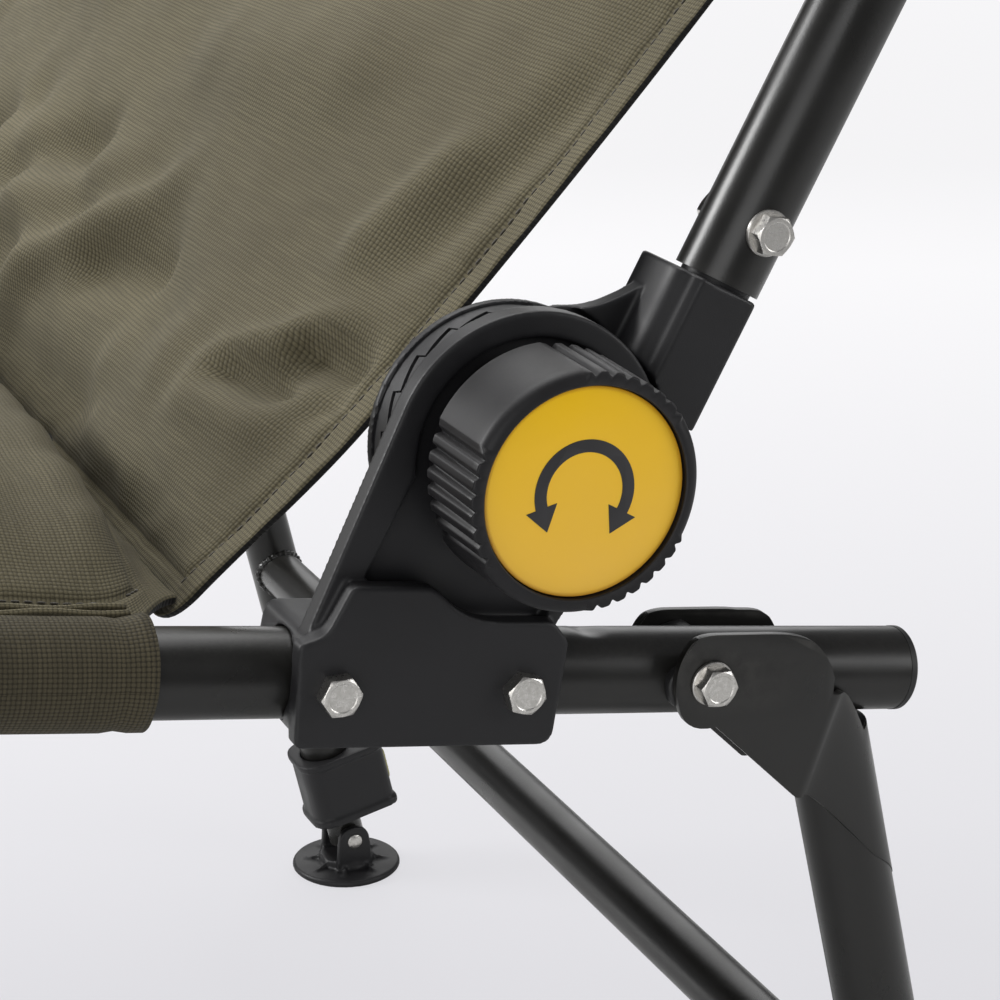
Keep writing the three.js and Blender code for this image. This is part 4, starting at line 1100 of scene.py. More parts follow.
def tooth_ring(base, toward, corner):
    """Ring of saw teeth from a flat base to the meeting line, held back by half the gap."""
    rings = []
    for tooth in range(TOOTH_COUNT):
        for step in range(TOOTH_STEPS + 1):
            share = TOOTH_DROP_SHARE + (1 - 2 * TOOTH_DROP_SHARE) * step / TOOTH_STEPS
            angle = corner + (tooth + share) * TOOTH_PITCH
            edge = TOOTH_LOW + (TOOTH_HIGH - TOOTH_LOW) * share + toward * TOOTH_GAP / 2
            rings.append([(x, r * cos(angle), r * sin(angle)) for x, r in (
                (base, TOOTH_BORE), (edge, TOOTH_BORE), (edge, TOOTH_RADIUS), (base, TOOTH_RADIUS))])
    return loft(rings, looped=True)


def arm_outline():
    """Arm from the clamp's shoulder up, tangent to the hub disc."""
    foot = Vector((ARM_FOOT[0], ARM_FOOT[1] - HUB_HEIGHT))
    leave = atan2(foot.y, foot.x) % (2 * pi) - acos(HUB_RADIUS / foot.length)
    sweep = leave - ARM_ARC_START
    angles = [ARM_ARC_START + sweep * step / ARM_ARC_STEPS for step in range(ARM_ARC_STEPS + 1)]
    arc = [(HUB_RADIUS * cos(a), HUB_HEIGHT + HUB_RADIUS * sin(a)) for a in angles]
    return [ARM_HEEL, *arc, ARM_FOOT]


def hinge_bases():
    bore = moved(rod_x(-BORE_REACH, BORE_REACH, TUBE_RADIUS + FIT), rotation(QUARTER, "Z"))
    block = cut(plate_x(rounded(BLOCK_OUTLINE), CLAMP_INNER, CLAMP_SHOULDER), bore)
    plate = cut(plate_x(rounded(PLATE_OUTLINE), HUB_FACE, CLAMP_FACE), bore)
    web_room = plate_x(rounded(WEB_OUTLINE), WEB_FACE, HUB_FACE + OVERRUN)
    knob_room = rod_x(WEB_FACE, HUB_FACE + OVERRUN, POCKET_RADIUS, HUB_HEIGHT)
    arm = cut(plate_x(arm_outline(), ARM_BACK, HUB_FACE), web_room, knob_room, bore)
    disc = cut(rod_x(HUB_BACK, HUB_FACE, HUB_RADIUS, HUB_HEIGHT), web_room, knob_room)
    hub_floor = rod_x(ARM_BACK, WEB_FACE - FIT, TOOTH_BORE, HUB_HEIGHT)
    skin = moulding([block, plate, arm, disc, hub_floor], MOULD_VOXEL)
    core = rod_x(TOOTH_HIGH + TOOTH_GAP, HUB_BACK, TOOTH_BORE + FIT, HUB_HEIGHT)
    teeth = moved(tooth_ring(HUB_BACK + FIT, 1, TOOTH_CORNER), shift(z=HUB_HEIGHT))
    mesh = joined([skin, core, teeth])
    fit_pair("hub_carrier", mesh, SEAT, MOULDED_FINISH, "moulded", "hinge_base", sharp=MOULDED_SHARP)


def sockets():
    disc_room = rod_x(FAR_FRONT + FIT, DISC_ROOM_REACH, HUB_RADIUS + DISC_ROOM)
    block = cut(block_z(rounded(SOCKET_SECTION), SOCKET_BOTTOM, SOCKET_TOP), disc_room)
    web = cut(plate_x(rounded(WEB_SWEEP, SOCKET_WEB_STEPS), FAR_BACK, SOCKET_WEB_FACE), disc_room)
    flange = rod_x(FAR_BACK, FAR_FRONT, FAR_RADIUS)
    skin = moulding([block, web, flange], MOULD_VOXEL, SOCKET_KEEP_SHARE)
    spigot = rod_z(SOCKET_TOP - OVERRUN, SPIGOT_TOP, SPIGOT_RADIUS, BACK_TUBE_OFFSET)
    core = rod_x(FAR_FRONT - FIT, TOOTH_LOW - TOOTH_GAP, TOOTH_BORE)
    teeth = tooth_ring(FAR_FRONT - FIT, -1, TOOTH_CORNER + BACK_TILT)
    mesh = joined([skin, spigot, core, teeth])
    fit_pair("backrest_socket_moulding", mesh, BACK, MOULDED_FINISH, "moulded", "backrest_socket",
             sharp=MOULDED_SHARP)


# Knobs
def from_group_middle(angle):
    """How far an angle is from the middle of the nearest group of grooves, in grooves."""
    step = 2 * pi / GROOVE_GROUPS
    return ((angle - FIRST_GROUP + step / 2) % step - step / 2) / GROOVE_PITCH


def groove_share(angle):
    """1 in the middle of a groove and 0 on the ribs and smooth stretches."""
    turns = from_group_middle(angle)
    if abs(turns) > GROOVE_COUNT / 2:
        return 0.0
    return (0.5 + 0.5 * cos(2 * pi * turns)) ** GROOVE_SHARPNESS_SHARE


def ribbed_share(angle):
    """1 inside a group of ribs, falling to 0 on the smooth stretches."""
    inside = GROOVE_COUNT / 2 + RIB_FADE_SHARE - abs(from_group_middle(angle))
    return min(1.0, max(0.0, inside / (2 * RIB_FADE_SHARE)))


def knob_mesh():
    angles = around(KNOB_STEPS)
    ribs = [ribbed_share(angle) for angle in angles]
    grooves = [groove_share(angle) for angle in angles]

    def ring(x, radii):
        return [(x, r * cos(a), r * sin(a)) for a, r in zip(angles, radii)]

    def plain_rings(profile):
        return [ring(x, [radius] * KNOB_STEPS) for x, radius in profile]

    pocket = HUB_FACE - (WEB_FACE - KNOB_BOSS_BACK)
    rings = plain_rings([
        (KNOB_BOSS_BACK, 0.0), (KNOB_BOSS_BACK, KNOB_BOSS_RADIUS), (pocket, KNOB_BOSS_RADIUS),
        (pocket, KNOB_COLLAR_RADIUS), (KNOB_BACK, KNOB_COLLAR_RADIUS)])
    start = KNOB_BACK + KNOB_BACK_INSET
    length = KNOB_FACE - KNOB_CORNER - start
    shares = [step / KNOB_SECTIONS for step in range(KNOB_SECTIONS + 1)]
    sections = [(KNOB_BACK, KNOB_BACK_INSET, 0.0)]
    sections += [(start + length * share, 0.0, share) for share in shares]
    for x, inset, share in sections:
        outer = KNOB_RADIUS - inset - KNOB_DRAFT * share
        depth = GROOVE_DEPTH * (1 - GROOVE_FADE_SHARE * share)
        radii = [outer - RIB_DROP * rib - depth * groove for rib, groove in zip(ribs, grooves)]
        rings.append(ring(x, radii))
    end_depth = GROOVE_DEPTH * (1 - GROOVE_FADE_SHARE)
    for step in range(1, KNOB_CORNER_STEPS + 1):
        turn = QUARTER * step / KNOB_CORNER_STEPS
        edge = []
        for a, rib, groove in zip(angles, ribs, grooves):
            corner = KNOB_CORNER + (KNOB_RIB_CORNER - KNOB_CORNER) * rib
            outer = KNOB_RADIUS - KNOB_DRAFT - RIB_DROP * rib - end_depth * groove
            r = outer - corner * (1 - cos(turn))
            edge.append((KNOB_FACE - corner + corner * sin(turn), r * cos(a), r * sin(a)))
        rings.append(edge)
    floor_x = BADGE_FACE - BADGE_THICKNESS
    inside = BADGE_RADIUS + FIT
    return loft(rings + plain_rings([
        (KNOB_FACE, inside + KNOB_LIP), (KNOB_FACE - KNOB_LIP, inside), (floor_x, inside), (floor_x, 0.0)]))


def badge_mesh():
    back = BADGE_FACE - BADGE_THICKNESS + FIT / 3
    rim = BADGE_RADIUS
    soft = BADGE_EDGE * BADGE_ROUNDING_SHARE
    return turned_x([
        (back, 0.0), (back, rim), (BADGE_FACE - BADGE_EDGE, rim), (BADGE_FACE - soft, rim - soft),
        (BADGE_FACE, rim - BADGE_EDGE), (BADGE_FACE, rim / 2), (BADGE_FACE, 0.0)], steps=BADGE_STEPS)


def mark_mesh():
    """Curved double-headed arrow that shows that the knob turns, open at the bottom."""
    angles = [QUARTER + MARK_SWEEP * (2 * step / MARK_STEPS - 1) for step in range(MARK_STEPS + 1)]

    def at(angle, radius):
        return Vector((cos(angle), sin(angle))) * radius

    def tip(angle, sense):
        point = at(angle, MARK_RADIUS) + at(angle + QUARTER, MARK_HEAD * MARK_TIP_SHARE) * sense
        return [at(angle, MARK_RADIUS + MARK_HEAD), point, at(angle, MARK_RADIUS - MARK_HEAD)]

    outline = [at(a, MARK_RADIUS + MARK_WIDTH / 2) for a in angles] + tip(angles[-1], 1)
    outline += [at(a, MARK_RADIUS - MARK_WIDTH / 2) for a in reversed(angles)] + tip(angles[0], -1)[::-1]
    mesh = plate_x(outline, BADGE_FACE - MARK_THICKNESS, BADGE_FACE + MARK_THICKNESS)
    return bevelled(mesh, MARK_THICKNESS / 3, 2)


def knobs():
    shell = knob_mesh()
    badge = badge_mesh()
    mark = mark_mesh()
    for name, side in SIDES:
        where = place(HUB_FRAME, side)
        fit(f"ribbed_knob_{name}", moved(shell, where), KNOB_FINISH, "knob", [f"knob_{name}"],
            sharp=KNOB_SHARP)
        fit(f"knob_disc_{name}", moved(badge, where), BADGE_FINISH, "badge", [f"knob_badge_{name}"])
        fit(f"turn_arrow_{name}", moved(mark, where), MARK_FINISH, "knob", [], body=f"{name}_knob")


# Fasteners: each built once along X and set by a geometry tree
def hexagon_part(corners, start, end, dish=0.0):
    """Six-sided head or nut with chamfered corners at its end, and a dished face."""
    flat = corners / 2 * cos(pi / 6)
    way = 1 if end > start else -1
    height = abs(end - start)
    angles = around(HEAD_STEPS)

    def radius(angle, rise):
        hexagon = flat / cos((angle + pi / 6) % (pi / 3) - pi / 6)
        return min(hexagon, flat * HEAD_CHAMFER_SHARE + (height - rise) * HEAD_CHAMFER_SLOPE)

    rings = [[(start, 0, 0) for a in angles]]
    for rise in [0.0, height / 2] + [height - flat * share for share in HEAD_RISE_SHARES]:
        radii = [radius(a, rise) for a in angles]
        rings.append([(start + way * rise, r * cos(a), r * sin(a)) for a, r in zip(angles, radii)])
    for share, sink in ((HEAD_RIM_SHARE, 0.0), (HEAD_DISH_SHARE, dish), (0.0, dish)):
        rings.append([(end - way * sink, flat * share * cos(a), flat * share * sin(a)) for a in angles])
    return loft(rings)


def bolt_mesh(seat, nut, washer=0.0):
    """Bolt with its head on a seat, its nut on the far side and perhaps a washer."""
    head = seat + washer
    parts = [hexagon_part(HEAD_CORNERS, head, head + HEAD_HEIGHT, HEAD_DISH)]
    if washer:
        soft = washer * WASHER_EDGE_SHARE
        inner = WASHER_RADIUS - soft
        parts.append(turned_x([
            (seat, 0), (seat, inner), (seat + soft, WASHER_RADIUS), (head - soft, WASHER_RADIUS),
            (head, inner), (head, 0)], steps=WASHER_STEPS))
    end = nut - NUT_HEIGHT - BOLT_PROUD
    parts.append(turned_x([(head, BOLT_RADIUS), (end + BOLT_PROUD / 3, BOLT_RADIUS),
                           (end, BOLT_RADIUS * SHANK_END_SHARE)], steps=SHANK_STEPS))
    parts.append(hexagon_part(HEAD_CORNERS, nut, nut - NUT_HEIGHT))
    return joined(parts)


def hub_bolt_mesh():
    seat = FAR_BACK - FIT
    head = hexagon_part(HUB_HEAD_CORNERS, seat, seat - HUB_HEAD_HEIGHT, HEAD_DISH * 2)
    shank = rod_x(seat - HUB_HEAD_HEIGHT / 2, HUB_BOLT_END, HUB_BOLT_RADIUS, steps=SHANK_STEPS)
    return joined([head, shank])


def set_fasteners(name, fastener, base, places, *nodes):
    """One piece for all alike fasteners of a body; places are (y, z, turn) on both rails."""
    points = []
    turns = []
    for y, z, turn in places:
        for _, side in SIDES:
            points.append(tuple(base @ Vector((side * HALF_SPAN, y, z))))
            turns += [turn, 0.0, 0.0 if side > 0 else pi]
    source = bpy.data.meshes.new("places")
    source.from_pydata(points, [], [])
    source.attributes.new("turn", "FLOAT_VECTOR", "POINT").data.foreach_set("vector", turns)
    helper = holder(fastener)
    mesh = grown(SET_TREE, source, {"Fastener": helper, "Finish": STEEL_FINISH})
    bpy.data.objects.remove(helper)
    both = [f"{node}_{side_name}" for node in nodes for side_name, _ in SIDES]
    fit(name, mesh, STEEL_FINISH, "steel", both, sharp=FASTENER_SHARP)


def all_fasteners():
    clamp_bolt = bolt_mesh(CLAMP_FACE, CLAMP_INNER)
    set_fasteners("clamp_bolts", clamp_bolt, SEAT, CLAMP_BOLTS,
                  "hinge_base_bolt_front", "hinge_base_bolt_rear")
    back_bolt = bolt_mesh(TUBE_RADIUS, -TUBE_RADIUS, WASHER_THICKNESS)
    set_fasteners("backrest_tube_bolts", back_bolt, BACK, [BACK_BOLT], "backrest_bolt")
    set_fasteners("hub_bolts", hub_bolt_mesh(), HUB_FRAME, [(0.0, 0.0, 0.0)], "hub_bolt")
    leg_bolt = bolt_mesh(LUG_FACE + FIT, -LUG_FACE - FIT, WASHER_THICKNESS)
    for end, _ in LEG_ENDS:
        base = shift(*JOINT_PLACE[f"{end}_leg_fold"])
        set_fasteners(f"{end}_leg_pivot_bolts", leg_bolt, base, [(0.0, 0.0, LEG_BOLT_TURN)],
                      f"{end}_leg_bolt")


# Legs
def lug_drop(z):
    """How far the inner ear sits below the outer one at a height."""
    return INNER_LUG_DROP * min(1.0, max(0.0, z / LUG_DROP_RUN + LUG_DROP_START_SHARE))


def sheet_row(share, side, into_ear):
    """One side of the bent sheet at a share of the crease's length: ear, fold, flat and wrap."""
    skin = SHEET_THICKNESS / 2
    near = TUBE_RADIUS + WRAP_SKIN - skin
    crease = Vector(LUG_OUTLINE[-1][:2]).lerp(Vector(LUG_TOE), share)
    toe = WRAP_TOP + (WRAP_TOE - WRAP_TOP) * share
    rear = WRAP_TOP + (WRAP_REAR_TOE - WRAP_TOP) * share
    off = Vector((LUG_FACE - skin, crease.x - LEG_OFFSET))
    touch = atan2(off.y, off.x) + acos(near / off.length)
    drop = INNER_LUG_DROP * (1 - share) if side < 0 else 0.0
    fold = Vector((side * (LUG_FACE - skin), crease.x, crease.y - drop))
    ear = fold + Vector((0, into_ear.x, into_ear.y))
    tangent = Vector((side * near * cos(touch), LEG_OFFSET + near * sin(touch), toe))
    inward = Vector((-side * sin(FOLD_ANGLE), cos(FOLD_ANGLE), 0))
    leave = fold + inward * FOLD_REACH
    bow = fold + inward * FOLD_LENGTH
    line = [eased(ear, fold, leave, step / FOLD_STEPS) for step in range(FOLD_STEPS)]
    line += [eased(leave, bow, tangent, step / STRIP_STEPS) for step in range(STRIP_STEPS)]
    for step in range(WRAP_STEPS + 1):
        part = step / WRAP_STEPS
        turn = touch + (QUARTER - touch) * part
        z = toe + (rear - toe) * part
        line.append(Vector((side * near * cos(turn), LEG_OFFSET + near * sin(turn), z)))
    return line


def lug_sheet():
    """Bent sheet bracket: two ears beside the rail that fold in and wrap the rear of the leg tube."""
    points = []
    faces = []

    def add(line):
        start = len(points)
        points.extend(tuple(point) for point in line)
        return list(range(start, len(points)))

    crease = Vector(LUG_TOE) - Vector(LUG_OUTLINE[-1][:2])
    into_ear = Vector((crease.y, -crease.x)).normalized() * FOLD_REACH
    rows = []
    for row in range(CREASE_STEPS + 1):
        outer, inner = [sheet_row(row / CREASE_STEPS, side, into_ear) for side in (1, -1)]
        rows.append(add(outer + inner[-2::-1]))
    for upper, lower in zip(rows, rows[1:]):
        for column in range(len(upper) - 1):
            faces.append((upper[column], upper[column + 1], lower[column + 1], lower[column]))
    ear_points = rounded(LUG_OUTLINE, LUG_ROUND_STEPS)[:-1]
    reach = LUG_FACE - SHEET_THICKNESS / 2
    outer = add([(reach, y, z) for y, z in ear_points]) + [row[0] for row in rows]
    inner = add([(-reach, y, z - lug_drop(z)) for y, z in ear_points]) + [row[-1] for row in rows]
    faces.append(tuple(reversed(outer)))
    faces.append(tuple(inner))
    sheet = modified(shape(points, faces, merge=False), (
        "SOLIDIFY", {"thickness": SHEET_THICKNESS, "offset": 0.0, "use_even_offset": True}))
    return bevelled(sheet, SHEET_EDGE, angle_limit=SHEET_BEND)


def weld_bead():
    """Rippled weld where the cross tube meets a leg tube."""
    rings = []
    for turn in around(WELD_STEPS):
        y = CROSS_RADIUS * cos(turn)
        z = CROSS_RADIUS * sin(turn)
        x = -sqrt(TUBE_RADIUS ** 2 - y ** 2)
        radius = WELD_RADIUS * (1 + sum(share * sin(turn * count) for count, share in WELD_RIPPLES))
        rings.append([(x + radius * sin(bend), y + radius * cos(bend) * cos(turn),
                       z + radius * cos(bend) * sin(turn)) for bend in around(WELD_SIDES)])
    return moved(loft(rings, looped=True), shift(0, LEG_OFFSET, -CROSS_DROP))


def leg_plug():
    """Plug in the leg's top: a wall in the tube, a thin rim and a dished face."""
    dish_rise, dish_radius = PLUG_DISH_SHARES
    sizes = ((-OVERRUN * 2, PLUG_WALL_INSET), (0.0, PLUG_WALL_INSET), (0.0, PLUG_RIM_INSET),
             (PLUG_RISE / 2, PLUG_RIM_INSET), (PLUG_RISE * PLUG_EDGE_SHARE, PLUG_EDGE_INSET),
             (PLUG_RISE, PLUG_FACE_INSET))
    profile = [(LEG_TOP + rise, TUBE_RADIUS - inset) for rise, inset in sizes]
    dish = LEG_TOP + PLUG_RISE * dish_rise
    return turned_z(profile + [(dish, TUBE_RADIUS * dish_radius), (dish, 0.0)], LEG_OFFSET)


def cross_brace():
    """Cross tube, cut to saddles round the legs so that the inner legs slide past its ends."""
    reach = HALF_SPAN - sqrt(TUBE_RADIUS ** 2 - CROSS_RADIUS ** 2) / 2
    ends = [(side * reach, LEG_OFFSET, -CROSS_DROP) for side in (-1, 1)]
    brace = tube(ends, CROSS_RADIUS, 0.0, TUBE_STEP * 6)
    saddle = rod_z(-CROSS_DROP - TUBE_RADIUS * 2, -CROSS_DROP + TUBE_RADIUS * 2, SADDLE_RADIUS, LEG_OFFSET)
    return cut(brace, *[moved(saddle, shift(side * HALF_SPAN)) for _, side in SIDES])


def leg_frames():
    spacer = bevelled(plate_x(rounded(SPACER_OUTLINE), *SPACER_FACES), SPACER_EDGE)
    spacers = joined([spacer, moved(spacer, Matrix.Diagonal((-1, 1, 1, 1)))])
    plug = leg_plug()
    brace = cross_brace()
    leg_tube = tube([(0, LEG_OFFSET, LEG_TOP), (0, LEG_OFFSET, LEG_END)], TUBE_RADIUS, 0.0, TUBE_STEP * 4)
    leg = joined([leg_tube, lug_sheet(), weld_bead()])
    leg.materials.clear()
    for end, facing in LEG_ENDS:
        fit(f"{end}_cross_brace", moved(brace, place(LEGS[end], 0, facing)), TUBE_FINISH, "tube",
            [f"{end}_cross_tube"])
        for name, side in SIDES:
            where = place(LEGS[end], side, facing)
            node = f"{end}_leg_{name}"
            fit(f"{end}_leg_tube_{name}", moved(leg, where), TUBE_FINISH, "tube", [node], sharp=LEG_SHARP)
            fit(f"{end}_leg_tube_plug_{name}", moved(plug, where), NYLON_FINISH, "nylon",
                [f"{end}_leg_plug_{name}"])
            fit(f"{end}_leg_spacer_{name}", moved(spacers, where), NYLON_FINISH, "nylon", [],
                body=BODY_OF[node])


def lock_housing_mesh():
    """Housing with a collar at each end, a pocket for its button and bores for the two leg tubes."""
    half, front, rear, corner = LOCK_HALF_WIDTH, LOCK_FRONT, LOCK_REAR, LOCK_CORNER
    outline = rounded([(-half, front, corner * 2), (half, front, corner * 2), (half, rear, corner),
                       (-half, rear, corner)], LOCK_STEPS)
    wider = 1 + LOCK_COLLAR / half
    wide = [(a * wider, b + (LOCK_COLLAR if b > 0 else -LOCK_COLLAR)) for a, b in outline]
    band = LOCK_COLLAR * 3
    parts = [block_z(outline, LOCK_BOTTOM, LOCK_TOP), block_z(wide, LOCK_BOTTOM, LOCK_BOTTOM + band),
             block_z(wide, LOCK_TOP - band, LOCK_TOP)]
    room = FIT * LOCK_ROOM_SHARE
    half_height = BUTTON_HEIGHT / 2 + room
    half_width = BUTTON_WIDTH / 2 + room
    pocket_floor = LOCK_REAR + BUTTON_PROUD - BUTTON_DEPTH - BUTTON_TRAVEL - room * 4
    pocket = plate_x(rectangle(pocket_floor, LOCK_MIDDLE - half_height, LOCK_REAR + OVERRUN,
                               LOCK_MIDDLE + half_height), -half_width, half_width)
    bore = rod_z(LOCK_BOTTOM - OVERRUN, LOCK_TOP - OVERRUN, INNER_LEG_RADIUS + FIT)
    sleeve_bore = rod_z(LOCK_TOP - OVERRUN * 2, LOCK_TOP + OVERRUN, TUBE_RADIUS + FIT)
    mesh = moulding([cut(part, pocket, bore, sleeve_bore) for part in parts], SMALL_VOXEL, SMALL_KEEP_SHARE)
    return moved(mesh, shift(y=LEG_OFFSET))


def button_mesh():
    """Press button with rounded edges and three grip ridges."""
    face = LOCK_REAR + BUTTON_PROUD
    half_width = BUTTON_WIDTH / 2
    half_height = BUTTON_HEIGHT / 2
    corner = BUTTON_PROUD * BUTTON_EDGE_SHARE
    levels = [(face - BUTTON_DEPTH, 0.0)]
    for step in range(BUTTON_EDGE_STEPS + 1):
        turn = QUARTER * step / BUTTON_EDGE_STEPS
        levels.append((face - corner + corner * sin(turn), corner * (1 - cos(turn))))
    rings = []
    for y, inset in levels:
        wide, high = half_width - inset, half_height - inset
        rings.append([(a, y, LOCK_MIDDLE + b) for a, b in rectangle(-wide, -high, wide, high, corner)])
    parts = [loft(rings)]
    reach = half_width * BUTTON_RIDGE_REACH_SHARE
    grip = reach - BUTTON_RIDGE
    for ridge in (-1, 0, 1):
        rise = LOCK_MIDDLE + ridge * BUTTON_HEIGHT * BUTTON_RIDGE_PITCH_SHARE
        parts.append(turned_x([(-reach, 0.0), (-grip, BUTTON_RIDGE), (grip, BUTTON_RIDGE), (reach, 0.0)],
                              face, rise, BUTTON_RIDGE_STEPS))
    return moved(joined(parts), shift(y=LEG_OFFSET))


def inner_leg_mesh(pin):
    """Sliding tube with a row of locking dents down its rear, from its pin up."""
    start = pin - FOOT_LUG_RADIUS * INNER_LEG_FOOT_SHARE
    count = int(INNER_LEG_LENGTH * INNER_LEG_MADE_SHARE / INNER_LEG_STEP)
    rings = []
    for row in range(count + 1):
        z = start + row * INNER_LEG_STEP
        hole = (z - start - FIRST_HOLE) / LEG_HOLE_PITCH
        off = (hole - floor(hole) - 0.5) * LEG_HOLE_PITCH
        ring = []
        for turn in around(INNER_LEG_SIDES):
            away = hypot((turn - QUARTER) * INNER_LEG_RADIUS, off) / LEG_HOLE_RADIUS
            dent = LEG_HOLE_DEPTH * min(1.0, (1 - away) * 3) if away < 1 and hole > 0 else 0.0
            radius = INNER_LEG_RADIUS - dent
            ring.append((radius * cos(turn), radius * sin(turn), z))
        rings.append(ring)
    return loft(rings)


def foot_mesh():
    """Swivel mud foot: ribbed disc, boss and two ears for the pin."""
    low = -FOOT_PIN_HEIGHT
    plate = low + FOOT_PLATE
    top = plate + FOOT_BOSS_RISE
    profile = [(low + rise, FOOT_RADIUS - inset) for rise, inset in FOOT_RIM_PROFILE]
    profile += [(plate, FOOT_BOSS_RADIUS), (top, FOOT_BOSS_RADIUS - FOOT_BOSS_TAPER), (top, 0.0)]
    parts = [turned_z([(low, 0.0), *profile])]
    inner = INNER_LEG_RADIUS + FIT
    flare = FOOT_LUG_RADIUS * FOOT_LUG_FLARE_SHARE
    lug = FOOT_LUG_RADIUS
    ear = rounded([(-flare, plate, 0), (flare, plate, 0), (lug, lug, lug), (-lug, lug, lug)], FOOT_LUG_STEPS)
    for start in (inner, -inner - FOOT_LUG_THICKNESS):
        parts.append(plate_x(ear, start, start + FOOT_LUG_THICKNESS))
    fin = [(FOOT_BOSS_RADIUS * FOOT_RIB_START_SHARE, plate - FOOT_RIB_SINK)]
    fin += [(FOOT_RADIUS - inset, plate + rise) for inset, rise in FOOT_RIB_ENDS]
    fin.append((FOOT_BOSS_RADIUS, plate + FOOT_RIB_TOP))
    for rib in range(FOOT_RIBS):
        blade = plate_x(fin, -FOOT_RIB_HALF_WIDTH, FOOT_RIB_HALF_WIDTH)
        parts.append(moved(blade, rotation(2 * pi * (rib + 0.5) / FOOT_RIBS, "Z")))
    return moulding(parts, SMALL_VOXEL, SMALL_KEEP_SHARE)


def pin_mesh():
    reach = INNER_LEG_RADIUS + FIT + FOOT_LUG_THICKNESS
    dome = [(reach + BOLT_PROUD * out, FOOT_PIN_RADIUS * wide) for out, wide in PIN_DOME_SHARES]
    return turned_x([(-x, r) for x, r in dome] + dome[::-1], steps=PIN_STEPS)


def leg_ends():
    housing = lock_housing_mesh()
    button = button_mesh()
    foot = foot_mesh()
    pin = pin_mesh()
    for end, facing in LEG_ENDS:
        for name, side in SIDES:
            where = place(LEGS[end], side, facing)
            swivel = shift(*JOINT_PLACE[f"{end}_foot_swivel_{name}"])
            slider = inner_leg_mesh((where.inverted() @ swivel.translation).z)
            slide = where @ shift(y=LEG_OFFSET)
            for label, node, mesh, base, finish, slot, sharp in (
                    ("leg_lock", "lock_housing", housing, where, MOULDED_FINISH, "moulded", MOULDED_SHARP),
                    ("lock_press_button", "lock_button", button, where, BUTTON_FINISH, "button", PLAIN_SHARP),
                    ("sliding_leg", "inner_leg", slider, slide, TUBE_FINISH, "tube", PLAIN_SHARP),
                    ("mud_foot", "foot", foot, swivel, MOULDED_FINISH, "moulded", MOULDED_SHARP),
                    ("foot_rivet", "foot_pin", pin, swivel, STEEL_FINISH, "steel", PLAIN_SHARP)):
                nodes = [f"{end}_{node}_{name}"]
                fit(f"{end}_{label}_{name}", moved(mesh, base), finish, slot, nodes, sharp=sharp)


# Mat
def smooth_step(value, start, end):
    share = min(1.0, max(0.0, (value - start) / (end - start)))
    return share * share * (3 - 2 * share)


def crown(share, power=CROWN_POWER):
    return sqrt(max(0.0, 1 - abs(share) ** power))


def hem_stations(length):
    """Distances from one edge to the middle, close together at the hem and even beyond it."""
    near = [HEM_WIDTH * share for share in HEM_STATION_SHARES]
    rest = length / 2 - near[-1]
    count = max(1, round(rest / GRID_STEP))
    return near + [near[-1] + rest * (step + 1) / count for step in range(count)]


def full_stations(length):
    half = hem_stations(length)
    return half + [length - value for value in reversed(half[:-1])]


def corner_inset(from_edge, radius):
    """How much a rounded corner draws in the side at a distance from the end edge."""
    if from_edge >= radius:
        return 0.0
    return radius - sqrt(max(0.0, radius * radius - (radius - from_edge) ** 2))


def lay_flat(mesh, flats):
    """Gives every corner of the mesh its place on the flat cloth."""
    layer = mesh.uv_layers.new(name="cloth")
    for loop in mesh.loops:
        layer.data[loop.index].uv = flats[loop.vertex_index]


class Pad:
    """Closed pad on a grid: a front and a back sheet that meet in a thin hem all round."""

    def __init__(self, width, length, surface):
        self.across = full_stations(width)
        self.along = full_stations(length)
        self.width = width
        self.length = length
        self.columns = len(self.across)
        self.rows = len(self.along)
        self.flats = [(u, v) for v in self.along for u in self.across] * 2
        half = len(self.flats) // 2
        self.points = [surface(u, v, 1 if number < half else -1)
                       for number, (u, v) in enumerate(self.flats)]
        self.faces = self.make_faces()

    def index(self, face, row, column):
        return (0 if face > 0 else self.rows * self.columns) + row * self.columns + column

    def make_faces(self):
        faces = []
        for face in (1, -1):
            for row in range(self.rows - 1):
                for column in range(self.columns - 1):
                    quad = [self.index(face, row, column), self.index(face, row, column + 1),
                            self.index(face, row + 1, column + 1), self.index(face, row + 1, column)]
                    faces.append(tuple(quad if face > 0 else reversed(quad)))
        self.back_start = len(faces) // 2
        rim = [(0, column) for column in range(self.columns)]
        rim += [(row, self.columns - 1) for row in range(1, self.rows)]
        rim += [(self.rows - 1, column) for column in range(self.columns - 2, -1, -1)]
        rim += [(row, 0) for row in range(self.rows - 2, 0, -1)]
        for here, ahead in zip(rim, rim[1:] + rim[:1]):
            faces.append((self.index(1, *ahead), self.index(1, *here), self.index(-1, *here),
                          self.index(-1, *ahead)))
        return faces

    def mesh(self):
        mesh = bpy.data.meshes.new("pad")
        mesh.from_pydata([tuple(p) for p in self.points], [], self.faces)
        lay_flat(mesh, self.flats)
        mesh.materials.append(CLOTH_FINISH)
        mesh.materials.append(BACKING_FINISH)
        for index in range(self.back_start, len(mesh.polygons)):
            mesh.polygons[index].material_index = 1
        return mesh

    def edge_distance(self, u, v):
        return min(u, self.width - u, v, self.length - v)


def outward(mesh):
    """Turns a closed mesh's faces out if they point in."""
    check = bmesh.new()
    check.from_mesh(mesh)
    inward = check.calc_volume(signed=True) < 0
    check.free()
    if inward:
        mesh.flip_normals()


